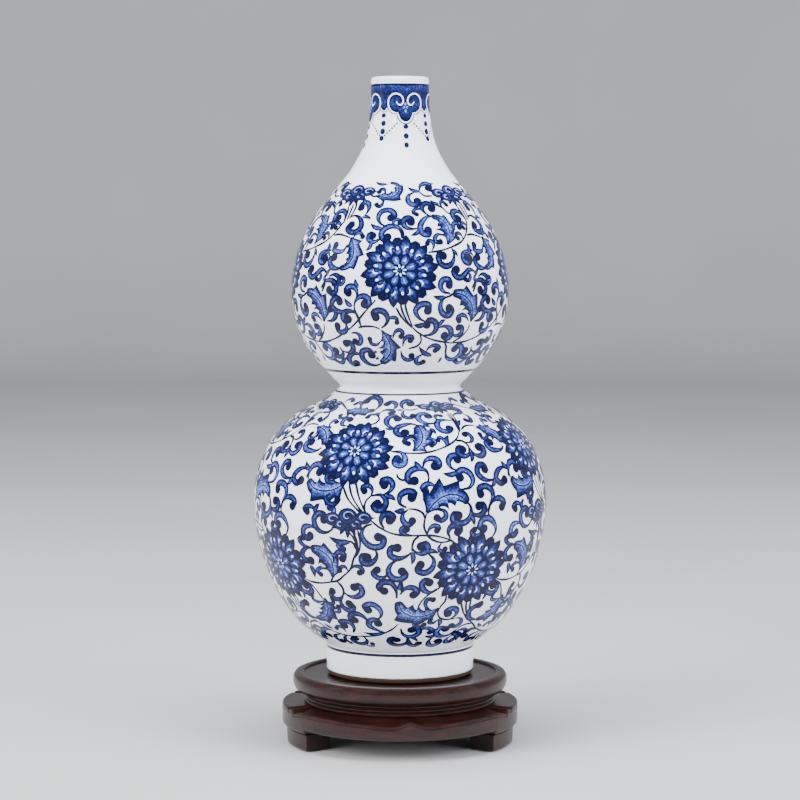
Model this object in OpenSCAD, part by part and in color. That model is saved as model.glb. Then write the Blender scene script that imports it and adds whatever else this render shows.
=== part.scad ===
// Double-gourd porcelain vase on a round, waisted hardwood stand.
// Origin: on the ground, on the common axis.  +Z is up and the front of the stand faces -Y.

/* [Vase] */
// Height of the vase from the bottom of its foot to its lip
vase_h = 380; // [340:1:420]
// Largest diameter of the lower bulb
bulb_d = 186.8; // [170:0.2:200]
// Thickness of the porcelain wall
wall = 4.4; // [3.6:0.1:5]
// Radius of the straight bore inside the mouth
mouth_r = 14.4; // [13.5:0.1:15]
// Height of the separately turned foot ring
foot_ring_h = 9.5; // [8:0.5:11]
// Thickness of the vase's floor
floor_t = 6; // [5:0.5:7]

/* [Stand] */
// Outer radius of the top plate
plate_r = 68.7; // [66:0.1:72]
// Thickness of the top plate, rim included
plate_t = 11.6; // [10:0.1:13]
// Radius of the shallow seat turned into the plate
seat_r = 61.5; // [56:0.5:62]
// Depth of the seat
seat_depth = 1.2; // [0.6:0.1:1.6]
// Outer radius of the reeded waist ring
waist_r = 61.5; // [60:0.5:62]
// Height of the waist ring
waist_h = 7.5; // [6:0.5:9]
// Outer radius of the base ring
base_r = 75.6; // [74:0.1:78]
// Height of the base ring
base_h = 14.4; // [13:0.1:16]
// Radius of the hollow inside both rings
hollow_r = 50; // [46:0.5:51]

/* [Feet] */
// Height of a leg under the base ring
leg_h = 10.6; // [9:0.1:13]
// Outer radius of the legs
leg_r = 73.6; // [72:0.1:75]
// Radial depth of a leg
leg_depth = 18.8; // [16:0.1:20]
// Angle from the front to the middle of a front leg
leg_angle = 66; // [62:1:68]
// Angle that a leg spans
leg_span = 26; // [22:1:28]
// Thickness of the felt pad under a leg
pad_t = 0.8; // [0.6:0.1:1.5]
// Radius of a felt pad
pad_r = 6.5; // [5:0.5:7]

/* [Carving] */
// Height by which the underside of an apron is cut back between its legs
relief = 2; // [0:0.1:3]
// Depth of the scallop in the rim of the apron
scallop = 3.3; // [2:0.1:3.6]
// Angle by which the apron's cusp stands off the middle
cusp_angle = 5.5; // [0:0.5:8]
// Half the angle that a carved apron spans
apron_half = 66; // [64:1:68]

/* [Fasteners] */
// Radius of the circle of wood screws
screw_circle_r = 56; // [55:0.5:57]
// Shank radius of a wood screw
screw_r = 2; // [1.8:0.1:2.2]
// Head radius of a wood screw
head_r = 3.8; // [3.5:0.1:4]
// Radius of a leg dowel
dowel_r = 2.5; // [2:0.1:3]
// Length of a leg dowel
dowel_l = 13; // [10:0.5:14]

/* [Hidden] */
$fn = 96;

porcelain = "#e9edf6";
rosewood = "#4b2420";
beech = "#c8a878";
steel = "#b9bcc0";
felt = "#2d3a2f";

fit_gap = 0.05;       // radial clearance of screws and dowels in their holes
slab_r = 120;         // wider than any section of the vase

// Levels above the ground
base_z = pad_t + leg_h;
waist_z = base_z + base_h;
plate_z = waist_z + waist_h;
seat_z = plate_z + plate_t - seat_depth;

// Outline of the vase as [radius, height above its foot], drawn for the reference size
ref_h = 380;
ref_d = 186.8;
foot_r = 47;
lip_r = 18.3;
outline = [
    [foot_r, 20], [57, 27.5], [65, 34.5], [73, 44.5], [86, 70], [92, 94], [ref_d / 2, 113],
    [91, 130], [82, 150.5], [67, 166], [43, 180],
    [38.3, 184.5], [43, 190],
    [57, 206], [66, 224], [69, 244], [66.5, 264], [58, 286], [45, 304.5],
    [30, 323.5], [22, 340], [19, 359], [lip_r, 378],
];
spline_steps = 5;     // straight steps drawn for each span of the outline

// Heights of the luted seams above the vase's foot
seam_lower = 113;
seam_waist_low = 180;
seam_waist_high = 193;
seam_upper = 244;
seam_neck = 323.5;
bore_bottom = 350;    // where the straight bore of the mouth begins

stretch = [bulb_d / ref_d, vase_h / ref_h];
function stretched(p) = [p[0] * stretch[0], p[1] * stretch[1]];

// Smooth curve through points: cubic spans whose slopes come from the neighbours
function chord(p, i) = norm(p[i + 1] - p[i]);
function heading(p, i) = (p[i + 1] - p[i]) / chord(p, i);
function slope(p, i) =
    i == 0 ? heading(p, 0)
    : i == len(p) - 1 ? heading(p, i - 1)
    : (heading(p, i) * chord(p, i - 1) + heading(p, i - 1) * chord(p, i))
      / (chord(p, i - 1) + chord(p, i));
function on_span(p, i, t) =
    (2 * t ^ 3 - 3 * t ^ 2 + 1) * p[i]
    + (t ^ 3 - 2 * t ^ 2 + t) * chord(p, i) * slope(p, i)
    + (3 * t ^ 2 - 2 * t ^ 3) * p[i + 1]
    + (t ^ 3 - t ^ 2) * chord(p, i) * slope(p, i + 1);
function curve(p, steps) = [
    for (i = [0 : len(p) - 2], k = [0 : steps - 1]) on_span(p, i, k / steps),
    p[len(p) - 1],
];

outer = [for (p = curve(outline, spline_steps)) stretched(p)];
lip_top = stretched([0, ref_h])[1];
floor_z = foot_ring_h + floor_t;

// Inner face: the outer curve moved in by the wall's thickness
function inward(p, i) =
    let (d = p[min(i + 1, len(p) - 1)] - p[max(i - 1, 0)])
    [-d[1], d[0]] / norm(d);
moved_in = [for (i = [0 : len(outer) - 1]) outer[i] + wall * inward(outer, i)];
inner_bottom = floor_z + 8;
inner_top = stretched([0, bore_bottom])[1] - 5;
inner = [for (p = moved_in) if (p[1] > inner_bottom && p[1] < inner_top) p];

module wall_section() {
    lip_out = stretched([lip_r, 0])[0];
    lip_mid = (lip_out + mouth_r) / 2;
    lip_round = (lip_out - mouth_r) / 2;
    lip_z = lip_top - lip_round;
    foot_out = stretched([foot_r, 0])[0];
    polygon(concat(
        [[0, foot_ring_h], [foot_out, foot_ring_h]],
        outer,
        [for (a = [0 : 15 : 180]) [lip_mid + lip_round * cos(a), lip_z + lip_round * sin(a)]],
        [[mouth_r, stretched([0, bore_bottom])[1]]],
        [for (i = [len(inner) - 1 : -1 : 0]) inner[i]],
        [[inner[0][0] - 7, floor_z + 1.5], [inner[0][0] - 14, floor_z], [0, floor_z]]
    ));
}

// One luted section of the vase between two heights above its foot
module vase_section(low, high) {
    color(porcelain)
    translate([0, 0, seat_z])
    rotate_extrude()
    intersection() {
        wall_section();
        translate([0, low]) square([slab_r, high - low]);
    }
}

function seam(z) = stretched([0, z])[1];

module foot_ring() {
    out = stretched([foot_r, 0])[0];
    color(porcelain)
    translate([0, 0, seat_z])
    rotate_extrude()
    polygon([
        [out - 6.6, foot_ring_h], [out - 6.6, 1.6], [out - 5.8, 0.3], [out - 5, 0],
        [out - 3.4, 0], [out - 2, 0.4], [out - 0.8, 1.4], [out - 0.2, 2.7], [out, 4],
        [out, foot_ring_h],
    ]);
}
module lower_bulb_base() { vase_section(foot_ring_h, seam(seam_lower)); }
module lower_bulb_crown() { vase_section(seam(seam_lower), seam(seam_waist_low)); }
module waist_collar() { vase_section(seam(seam_waist_low), seam(seam_waist_high)); }
module upper_bulb_base() { vase_section(seam(seam_waist_high), seam(seam_upper)); }
module upper_bulb_crown() { vase_section(seam(seam_upper), seam(seam_neck)); }
module neck() { vase_section(seam(seam_neck), lip_top + 1); }

// Places children on a circle; angles run from the front (-Y) towards +X
module around(angles, radius) {
    for (a = angles) rotate([0, 0, a - 90]) translate([radius, 0, 0]) children();
}
screw_angles = [0 : 90 : 270];
leg_angles = [-leg_angle, leg_angle, leg_angle - 180, 180 - leg_angle];

module screw_holes(low, high, radius) {
    around(screw_angles, screw_circle_r) translate([0, 0, low]) cylinder(h = high - low, r = radius);
}

module stand_top_plate() {
    edge = plate_r;
    pilot_depth = 8;
    color(rosewood)
    difference() {
        translate([0, 0, plate_z])
        rotate_extrude()
        polygon([
            [0, 0], [edge - 4.4, 0], [edge - 2.6, 0.6], [edge - 1.3, 1.9], [edge - 0.4, 3.9],
            [edge, 6.2], [edge - 0.1, 8.2], [edge - 0.6, plate_t - 1.7], [edge - 1.5, plate_t - 0.6],
            [edge - 3, plate_t], [seat_r + 0.6, plate_t], [seat_r, plate_t - seat_depth],
            [0, plate_t - seat_depth],
        ]);
        screw_holes(plate_z - 1, plate_z + pilot_depth, screw_r + fit_gap);
    }
}

module stand_waist_ring() {
    reeds = 3;
    reed_r = waist_h / reeds / 2;
    color(rosewood)
    difference() {
        translate([0, 0, waist_z])
        rotate_extrude()
        difference() {
            union() {
                translate([hollow_r, 0]) square([waist_r - reed_r * 0.6 - hollow_r, waist_h]);
                for (k = [0 : reeds - 1])
                    translate([waist_r - reed_r, reed_r * (2 * k + 1)]) circle(r = reed_r, $fn = 24);
            }
        }
        screw_holes(waist_z - 1, waist_z + waist_h + 1, screw_r + fit_gap);
    }
}

// Rim of a carved apron as [angle from its middle, share of the scallop's depth]
rim_wave = [
    [-64, 0.3], [-52, 0.26], [-38, 0.34], [-24, 0.62], [-13, 0.96], [-8, 0.98], [-3.5, 0.5],
    [0, 0.02], [3.5, 0.5], [8, 0.98], [13, 0.96], [24, 0.62], [38, 0.34], [52, 0.26], [64, 0.3],
];

// Wedge that dips the ring's top towards the rim of one apron, following the wave
module apron_cut() {
    reach = base_r + 6;
    shelf = base_r - waist_r;
    tilt = atan(scallop / shelf);
    wave = curve(rim_wave, 2);
    edge = [
        for (p = wave)
            let (a = p[0] + cusp_angle * (1 - abs(p[0]) / apron_half))
            [base_r * sin(a), -p[1] * scallop]
    ];
    side = base_r * sin(apron_half);
    translate([0, -base_r, 0])
    rotate([90 + tilt, 0, 0])
    translate([0, 0, -base_r * (1 - cos(apron_half)) - 2])
    linear_extrude(height = base_r + reach)
    polygon(concat([[-side, 12], [-side, edge[0][1]]], edge, [[side, edge[len(edge) - 1][1]], [side, 12]]));
}

// Cut that raises the underside of both aprons between the legs
module underside_relief() {
    half = leg_angle - leg_span / 2;
    for (turn = [0, 180])
        rotate([0, 0, turn - 90 - half])
        translate([0, 0, base_z - 1])
        rotate_extrude(angle = 2 * half)
        translate([hollow_r - 1, 0]) square([base_r - hollow_r + 2, relief + 1]);
}

module stand_base_ring() {
    counterbore = 4;
    leg_z = pad_t + leg_h;
    color(rosewood)
    difference() {
        translate([0, 0, base_z])
        rotate_extrude()
        polygon([
            [hollow_r, 0], [base_r - 2.2, 0], [base_r - 1, 0.6], [base_r - 0.2, 1.8], [base_r, 3.4],
            [base_r, base_h - 2.4], [base_r - 0.5, base_h - 0.9], [base_r - 1.8, base_h],
            [hollow_r, base_h],
        ]);
        for (turn = [0, 180])
            rotate([0, 0, turn]) translate([0, 0, waist_z]) apron_cut();
        underside_relief();
        screw_holes(base_z - 1, waist_z + 1, screw_r + fit_gap);
        screw_holes(base_z - 1, base_z + counterbore, head_r + 0.4);
        around(leg_angles, leg_r - leg_depth / 2)
            translate([0, 0, leg_z - 1]) cylinder(h = dowel_l / 2 + 1.3, r = dowel_r + fit_gap);
    }
}

// One leg: a block cut from a ring, standing under the base ring
module leg(angle) {
    color(rosewood)
    difference() {
        translate([0, 0, pad_t])
        rotate([0, 0, angle - 90 - leg_span / 2])
        rotate_extrude(angle = leg_span)
        polygon([
            [leg_r - leg_depth, 0.6], [leg_r - leg_depth + 0.6, 0], [leg_r - 1, 0], [leg_r, 1],
            [leg_r, leg_h], [leg_r - leg_depth, leg_h],
        ]);
        around([angle], leg_r - leg_depth / 2)
            translate([0, 0, pad_t + leg_h - dowel_l / 2 - 0.3])
            cylinder(h = dowel_l / 2 + 1.3, r = dowel_r + fit_gap);
    }
}
module leg_front_left() { leg(-leg_angle); }
module leg_front_right() { leg(leg_angle); }
module leg_back_left() { leg(leg_angle - 180); }
module leg_back_right() { leg(180 - leg_angle); }

// Wood screws from below, through base ring and waist ring into the plate
module plate_screws() {
    head_t = 2.4;
    slot_w = 1;
    tip_z = plate_z + 7;
    head_z = base_z + 4;
    color(steel)
    around(screw_angles, screw_circle_r)
    difference() {
        union() {
            translate([0, 0, head_z - head_t]) cylinder(h = head_t, r = head_r);
            translate([0, 0, head_z - 0.1]) cylinder(h = tip_z - head_z - 1.4, r = screw_r);
            translate([0, 0, tip_z - 1.5]) cylinder(h = 1.5, r1 = screw_r, r2 = 0.6);
        }
        for (turn = [0, 90])
            rotate([0, 0, turn])
            translate([-head_r * 0.6, -slot_w / 2, head_z - head_t - 1])
            cube([head_r * 1.2, slot_w, 2]);
    }
}

module leg_dowels() {
    chamfer = 0.6;
    low = pad_t + leg_h - dowel_l / 2;
    color(beech)
    around(leg_angles, leg_r - leg_depth / 2)
    translate([0, 0, low]) {
        cylinder(h = chamfer, r1 = dowel_r - chamfer, r2 = dowel_r);
        translate([0, 0, chamfer]) cylinder(h = dowel_l - 2 * chamfer, r = dowel_r);
        translate([0, 0, dowel_l - chamfer]) cylinder(h = chamfer, r1 = dowel_r, r2 = dowel_r - chamfer);
    }
}

module foot_pads() {
    color(felt)
    around(leg_angles, leg_r - leg_depth / 2) cylinder(h = pad_t, r = pad_r);
}

foot_ring();
lower_bulb_base();
lower_bulb_crown();
waist_collar();
upper_bulb_base();
upper_bulb_crown();
neck();
stand_top_plate();
stand_waist_ring();
stand_base_ring();
leg_front_left();
leg_front_right();
leg_back_left();
leg_back_right();
plate_screws();
leg_dowels();
foot_pads();
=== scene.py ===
"""Looks of the double-gourd vase and its stand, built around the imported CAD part.

Lengths are in millimetres until a mesh is made.  Heights on the vase are measured above its
foot, and angles run from the front (-Y) towards +X, in degrees.
"""

import math

import bpy
import numpy as np
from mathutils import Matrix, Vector


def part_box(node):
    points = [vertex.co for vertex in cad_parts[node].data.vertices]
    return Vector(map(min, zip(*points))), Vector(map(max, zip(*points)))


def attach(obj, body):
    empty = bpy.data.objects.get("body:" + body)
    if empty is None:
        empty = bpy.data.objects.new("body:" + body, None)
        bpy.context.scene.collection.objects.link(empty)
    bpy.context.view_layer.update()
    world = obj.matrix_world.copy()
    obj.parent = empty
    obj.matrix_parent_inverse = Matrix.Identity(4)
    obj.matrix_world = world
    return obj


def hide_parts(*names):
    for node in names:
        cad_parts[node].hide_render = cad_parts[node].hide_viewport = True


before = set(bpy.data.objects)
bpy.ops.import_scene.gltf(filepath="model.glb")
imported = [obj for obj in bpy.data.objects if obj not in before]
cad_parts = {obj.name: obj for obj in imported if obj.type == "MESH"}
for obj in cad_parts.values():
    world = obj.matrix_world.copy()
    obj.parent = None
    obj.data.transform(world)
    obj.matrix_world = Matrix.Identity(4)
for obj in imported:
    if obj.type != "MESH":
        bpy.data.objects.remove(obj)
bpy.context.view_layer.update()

MM = 0.001
RAD = math.pi / 180
rng = np.random.default_rng(7)


def box_mm(node):
    low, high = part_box(node)
    return [v / MM for v in low], [v / MM for v in high]


def top_of(node):
    return box_mm(node)[1][2]


def bottom_of(node):
    return box_mm(node)[0][2]


FOOT_Z = bottom_of("foot_ring")


# ------------------------------------------------------------------ outline of the vase

# Points of (radius, height above the foot), joined by a smooth curve
OUTLINE = [
    (47, 20), (57, 27.5), (65, 34.5), (73, 44.5), (86, 70), (92, 94), (93.4, 113),
    (91, 130), (82, 150.5), (67, 166), (43, 180),
    (38.3, 184.5), (43, 190),
    (57, 206), (66, 224), (69, 244), (66.5, 264), (58, 286), (45, 304.5),
    (30, 323.5), (22, 340), (19, 359), (18.3, 378),
]
WALL = 4.4             # thickness of the porcelain
MOUTH_R = 14.4         # radius of the straight bore in the mouth
BORE_BOTTOM = 350      # height where that bore begins
FLOOR_Z = 15.5         # height of the vase's floor


def smooth_curve(points, steps):
    """Cubic spans through the points, whose slopes come from the neighbouring spans."""
    p = np.asarray(points, float)
    gaps = np.maximum(np.linalg.norm(np.diff(p, axis=0), axis=1), 1e-6)
    heads = np.diff(p, axis=0) / gaps[:, None]
    slopes = np.empty_like(p)
    slopes[0], slopes[-1] = heads[0], heads[-1]
    before, after = gaps[:-1, None], gaps[1:, None]
    slopes[1:-1] = (heads[1:] * before + heads[:-1] * after) / (before + after)
    t = np.arange(steps)[None, :, None] / steps
    size = gaps[:, None, None]
    a, b = p[:-1, None], p[1:, None]
    sa, sb = slopes[:-1, None], slopes[1:, None]
    spans = (
        (2 * t**3 - 3 * t**2 + 1) * a
        + (t**3 - 2 * t**2 + t) * size * sa
        + (3 * t**2 - 2 * t**3) * b
        + (t**3 - t**2) * size * sb
    )
    return np.vstack([spans.reshape(-1, p.shape[1]), p[-1:]])


FOOT_WALL = [(OUTLINE[0][0], z) for z in (4.0, 9.5, 15.0, 18.0, 19.6)]
WALL_CURVE = np.vstack([FOOT_WALL, smooth_curve(OUTLINE, 10)])
WALL_R, WALL_Z = WALL_CURVE.T
HEADING = np.gradient(WALL_CURVE, axis=0)
HEADING /= np.linalg.norm(HEADING, axis=1)[:, None]
NORMAL_R, NORMAL_Z = HEADING[:, 1], -HEADING[:, 0]
WALL_S = np.concatenate([[0], np.cumsum(np.linalg.norm(np.diff(WALL_CURVE, axis=0), axis=1))])
INNER_R = WALL_R - WALL * NORMAL_R
INNER_Z = WALL_Z - WALL * NORMAL_Z


def s_at(z):
    """Length along the outline at a height above the foot."""
    return np.interp(z, WALL_Z, WALL_S)


def r_at(s):
    return np.interp(s, WALL_S, WALL_R)


def on_glaze(angle, s, lift):
    """Points in metres on the glaze, at an angle, a length along the outline and a lift."""
    nr, nz = np.interp(s, WALL_S, NORMAL_R), np.interp(s, WALL_S, NORMAL_Z)
    r = r_at(s) + lift * nr
    z = np.interp(s, WALL_S, WALL_Z) + lift * nz + FOOT_Z
    return np.stack([r * np.sin(angle * RAD), -r * np.cos(angle * RAD), z], axis=-1) * MM


# ------------------------------------------------------------------ meshes

def turned(angle, r, z):
    """A point in metres at an angle, a radius and a height above the ground."""
    return (r * math.sin(angle * RAD) * MM, -r * math.cos(angle * RAD) * MM, z * MM)


def make_mesh(name, verts, faces, material, sharp=40.0):
    mesh = bpy.data.meshes.new(name)
    mesh.from_pydata([tuple(map(float, v)) for v in verts], [], faces)
    mesh.validate()
    mesh.polygons.foreach_set("use_smooth", [True] * len(mesh.polygons))
    mesh.set_sharp_from_angle(angle=sharp * RAD)
    mesh.materials.append(material)
    piece = bpy.data.objects.new(name, mesh)
    bpy.context.scene.collection.objects.link(piece)
    return piece


def lathe(name, profile, material, segments=180, sharp=40.0):
    """A closed solid turned from a closed profile of (radius, height above the ground).
    Points on the axis become single vertices."""
    verts, rows = [], []
    angles = np.arange(segments) * 360 / segments
    for r, z in profile:
        if r < 1e-6:
            rows.append([len(verts)] * segments)
            verts.append((0, 0, z * MM))
            continue
        rows.append(list(range(len(verts), len(verts) + segments)))
        verts += [turned(a, r, z) for a in angles]
    faces = []
    for i, low in enumerate(rows):
        high = rows[(i + 1) % len(rows)]
        for k in range(segments):
            n = (k + 1) % segments
            quad = [low[k], low[n], high[n], high[k]]
            face = [v for j, v in enumerate(quad) if v not in quad[:j]]
            if len(face) > 2:
                faces.append(face)
    return make_mesh(name, verts, faces, material, sharp)


# ------------------------------------------------------------------ materials

class Nodes:
    """A material's node tree, with short calls to add to it."""

    def __init__(self, name):
        self.material = bpy.data.materials.new(name)
        self.material.use_nodes = True
        self.tree = self.material.node_tree
        self.shader = self.tree.nodes["Principled BSDF"]
        self.place = self.add("ShaderNodeTexCoord").outputs["Object"]

    def add(self, kind, **settings):
        node = self.tree.nodes.new(kind)
        for key, value in settings.items():
            setattr(node, key, value)
        return node

    def link(self, a, b):
        self.tree.links.new(a, b)

    def set(self, **values):
        for key, value in values.items():
            self.shader.inputs[key.replace("_", " ")].default_value = value

    def noise(self, scale, detail=3.0, roughness=0.5, stretch=None):
        node = self.add("ShaderNodeTexNoise")
        node.inputs["Scale"].default_value = scale
        node.inputs["Detail"].default_value = detail
        node.inputs["Roughness"].default_value = roughness
        source = self.place
        if stretch:
            mapping = self.add("ShaderNodeMapping")
            mapping.inputs["Scale"].default_value = stretch
            self.link(self.place, mapping.inputs["Vector"])
            source = mapping.outputs["Vector"]
        self.link(source, node.inputs["Vector"])
        return node.outputs["Fac"]

    def math(self, operation, a, b):
        node = self.add("ShaderNodeMath", operation=operation)
        for socket, value in zip(node.inputs, (a, b)):
            if isinstance(value, (int, float)):
                socket.default_value = value
            else:
                self.link(value, socket)
        return node.outputs[0]

    def ramp(self, value, stops):
        node = self.add("ShaderNodeValToRGB")
        elements = node.color_ramp.elements
        while len(elements) < len(stops):
            elements.new(0.5)
        for element, (position, colour) in zip(elements, stops):
            element.position = position
            element.color = (*colour, 1)
        self.link(value, node.inputs["Fac"])
        return node.outputs["Color"]

    def bump(self, height, strength, distance):
        node = self.add("ShaderNodeBump")
        node.inputs["Strength"].default_value = strength
        node.inputs["Distance"].default_value = distance
        self.link(height, node.inputs["Height"])
        self.link(node.outputs["Normal"], self.shader.inputs["Normal"])

    def colour(self, socket):
        self.link(socket, self.shader.inputs["Base Color"])


GLAZE_WHITE = (0.78, 0.83, 0.90)


def glaze_finish(nodes):
    nodes.set(Roughness=0.13, IOR=1.45, Specular_IOR_Level=0.32)
    nodes.bump(nodes.noise(70, 2.0), 0.2, 0.0005)


def porcelain_material():
    nodes = Nodes("porcelain")
    warm = (0.74, 0.775, 0.83)
    pooled = nodes.noise(9, 2.0)
    nodes.colour(nodes.ramp(pooled, [(0.35, warm), (0.62, GLAZE_WHITE)]))
    glaze_finish(nodes)
    return nodes.material


# Near-black colour of the foot's bottom edge: partly the unglazed foot rim, and partly painted contact
# shadow where the foot meets the stand
FOOT_RIM_AND_SHADE = (0.055, 0.036, 0.028)


def foot_rim_and_shade_material():
    nodes = Nodes("foot_porcelain")
    height = nodes.add("ShaderNodeSeparateXYZ")
    nodes.link(nodes.place, height.inputs[0])
    # Painted contact shadow over the unglazed rim: dark below about 4 mm above the foot, glaze white above
    above = nodes.math("MULTIPLY", nodes.math("SUBTRACT", height.outputs[2], FOOT_Z * MM), 130)
    wavy = nodes.math("ADD", above, nodes.math("MULTIPLY", nodes.noise(200, 3.0), 0.06))
    nodes.colour(nodes.ramp(wavy, [(0.30, FOOT_RIM_AND_SHADE), (0.50, FOOT_RIM_AND_SHADE), (0.60, GLAZE_WHITE)]))
    glaze_finish(nodes)
    return nodes.material


def cobalt_material():
    """Blue whose depth follows the stroke's ink, from bare glaze to navy."""
    nodes = Nodes("cobalt_paint")
    ink = nodes.add("ShaderNodeAttribute", attribute_name="ink").outputs["Fac"]
    fine = nodes.math("SUBTRACT", nodes.noise(760, 4.0, 0.7), 0.5)
    broad = nodes.math("SUBTRACT", nodes.noise(26, 2.0), 0.5)
    mottle = nodes.math("ADD", nodes.math("MULTIPLY", fine, 0.85), nodes.math("MULTIPLY", broad, 0.30))
    room = nodes.math("MULTIPLY", nodes.math("SUBTRACT", 1.12, ink), ink)
    depth = nodes.math("ADD", ink, nodes.math("MULTIPLY", mottle, nodes.math("MULTIPLY", room, 4.2)))
    nodes.colour(nodes.ramp(depth, [
        (0.02, GLAZE_WHITE), (0.15, (0.26, 0.36, 0.74)), (0.34, (0.052, 0.090, 0.37)),
        (0.57, (0.0105, 0.0175, 0.110)), (0.84, (0.0020, 0.0028, 0.024)),
    ]))
    glaze_finish(nodes)
    return nodes.material


def rosewood_material():
    nodes = Nodes("rosewood")
    rings = nodes.noise(40, 5.0, 0.62, stretch=(1.0, 5.0, 7.0))
    pores = nodes.noise(900, 2.0, 0.5, stretch=(0.12, 1.0, 1.0))
    grain = nodes.math("ADD", rings, nodes.math("MULTIPLY", nodes.math("SUBTRACT", pores, 0.5), 0.35))
    nodes.colour(nodes.ramp(grain, [
        (0.30, (0.006, 0.0025, 0.0022)), (0.47, (0.013, 0.0040, 0.0032)), (0.62, (0.022, 0.0062, 0.0042)),
        (0.78, (0.034, 0.0105, 0.006)),
    ]))
    nodes.set(Roughness=0.4, Specular_IOR_Level=0.3, IOR=1.45, Coat_Weight=0.3, Coat_Roughness=0.1)
    nodes.bump(grain, 0.15, 0.0003)
    return nodes.material


def plain_material(name, low, high, scale, roughness, metallic=0.0):
    nodes = Nodes(name)
    nodes.colour(nodes.ramp(nodes.noise(scale, 4.0, 0.6), [(0.35, low), (0.65, high)]))
    nodes.set(Roughness=roughness, Metallic=metallic)
    return nodes.material


# ------------------------------------------------------------------ the porcelain

def inner_face(low, high):
    """The bore's inner face between two heights above the foot, from the top down."""
    bore_top = BORE_BOTTOM - 5
    keep = (INNER_Z > max(low, FLOOR_Z + 8)) & (INNER_Z < min(high, bore_top))
    rows = [(r, z) for r, z in zip(INNER_R[keep], INNER_Z[keep])][::-1]
    if high < bore_top:
        rows.insert(0, (float(np.interp(high, INNER_Z, INNER_R)), high))
    if low > FLOOR_Z:
        rows.append((float(np.interp(low, INNER_Z, INNER_R)), low))
    return rows


def outer_face(low, high):
    keep = (WALL_Z > low) & (WALL_Z < high)
    rows = [(r, z) for r, z in zip(WALL_R[keep], WALL_Z[keep])]
    rows.insert(0, (float(np.interp(low, WALL_Z, WALL_R)), low))
    if high < WALL_Z[-1]:
        rows.append((float(np.interp(high, WALL_Z, WALL_R)), high))
    return rows


def lip_round():
    lip_r, lip_top = OUTLINE[-1][0], top_of("neck") - FOOT_Z
    middle, radius = (lip_r + MOUTH_R) / 2, (lip_r - MOUTH_R) / 2
    return [
        (middle + radius * math.cos(a * RAD), lip_top - radius + radius * math.sin(a * RAD))
        for a in range(9, 181, 9)
    ]


def section(node, material):
    low, high = bottom_of(node) - FOOT_Z, top_of(node) - FOOT_Z
    if node == "lower_bulb_base":
        inside = inner_face(low, high)
        rim = inside[-1][0]
        well = [(rim - 3, FLOOR_Z + 4.2), (rim - 7, FLOOR_Z + 1.5), (rim - 14, FLOOR_Z), (0, FLOOR_Z)]
        rows = [(0, low)] + outer_face(low, high) + inside + well
    elif node == "neck":
        rows = outer_face(low, high) + lip_round() + [(MOUTH_R, BORE_BOTTOM)] + inner_face(low, high)
    else:
        rows = outer_face(low, high) + inner_face(low, high)
    piece = lathe("glazed_" + node, [(r, z + FOOT_Z) for r, z in rows], material)
    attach(piece, "vase")
    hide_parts(node)


def foot_section(material):
    out = OUTLINE[0][0]
    corner = [(out - 6.6, 1.8), (out - 6.2, 0.8), (out - 5.6, 0.2), (out - 4.9, 0), (out - 3.4, 0),
              (out - 2, 0.4), (out - 0.8, 1.4), (out - 0.2, 2.7), (out, 4)]
    high = top_of("foot_ring") - FOOT_Z
    rows = [(out - 6.6, high)] + [tuple(p) for p in smooth_curve(corner, 3)] + [(out, high)]
    piece = lathe("glazed_foot_ring", [(r, z + FOOT_Z) for r, z in rows], material)
    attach(piece, "vase")
    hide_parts("foot_ring")


# ------------------------------------------------------------------ painting

PERIOD = 90            # the pattern repeats four times round the vase
LIFT = 0.05            # the painted layer's height over the clear glaze's surface
LAYER = 0.018          # extra height of each later stroke layer


class Brush:
    """Paints strokes on the vase, each repeated round it, and turns them into one mesh.
    The pattern's grid is stretched at the back and drawn together at the front by lean degrees."""

    def __init__(self, lean):
        self.lean = lean
        self.verts, self.faces, self.inks = [], [], []

    def to_grid(self, points):
        """Grid angles and outline lengths of points given as (angle, height) at the front."""
        p = np.asarray(points, float)
        grid = p[:, 0].copy()
        for _ in range(6):
            grid = p[:, 0] + self.lean * np.sin(grid * RAD)
        return np.stack([grid, s_at(p[:, 1])], axis=1)

    def lay(self, grid, s, ink, lift):
        """Adds a sheet of rows and columns at every repeat."""
        rows, columns = grid.shape
        for repeat in range(360 // PERIOD):
            a = grid + PERIOD * repeat
            start = len(self.verts)
            points = on_glaze(a - self.lean * np.sin(a * RAD), s, lift)
            self.verts.extend(points.reshape(-1, 3).tolist())
            self.inks.extend(ink.reshape(-1).tolist())
            for i in range(rows - 1):
                for k in range(columns - 1):
                    v = start + i * columns + k
                    self.faces.append((v, v + 1, v + columns + 1, v + columns))

    def ribbon(self, path, left, right, ink, columns, layer=0):
        """A stroke along a path in the local flat chart (x, y, chart radius)."""
        flat, radius = path
        s = flat[:, 1]
        squeeze = r_at(s) / radius
        step = np.gradient(flat, axis=0)
        tx, ty = step[:, 0] * squeeze, step[:, 1]
        size = np.maximum(np.hypot(tx, ty), 1e-6)
        nx, ny = -ty / size, tx / size
        across = np.asarray(columns, float)
        width = np.where(across[None, :] > 0, left[:, None], right[:, None]) * across[None, :]
        x = flat[:, :1] + nx[:, None] * width / squeeze[:, None]
        y = flat[:, 1:2] + ny[:, None] * width
        self.lay(x / (radius * RAD), y, ink, LIFT + LAYER * layer)

    def chart(self, points):
        """Flat chart of points: grid angle turned to millimetres at the points' mean radius."""
        grid = self.to_grid(points)
        radius = float(r_at(grid[:, 1].mean()))
        return np.stack([grid[:, 0] * RAD * radius, grid[:, 1]], axis=1), radius

    def mesh(self, name, material):
        piece = make_mesh(name, self.verts, self.faces, material, sharp=180)
        mesh = piece.data
        ink = mesh.attributes.new("ink", "FLOAT", "POINT")
        ink.data.foreach_set("value", self.inks)
        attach(piece, "vase")


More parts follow.
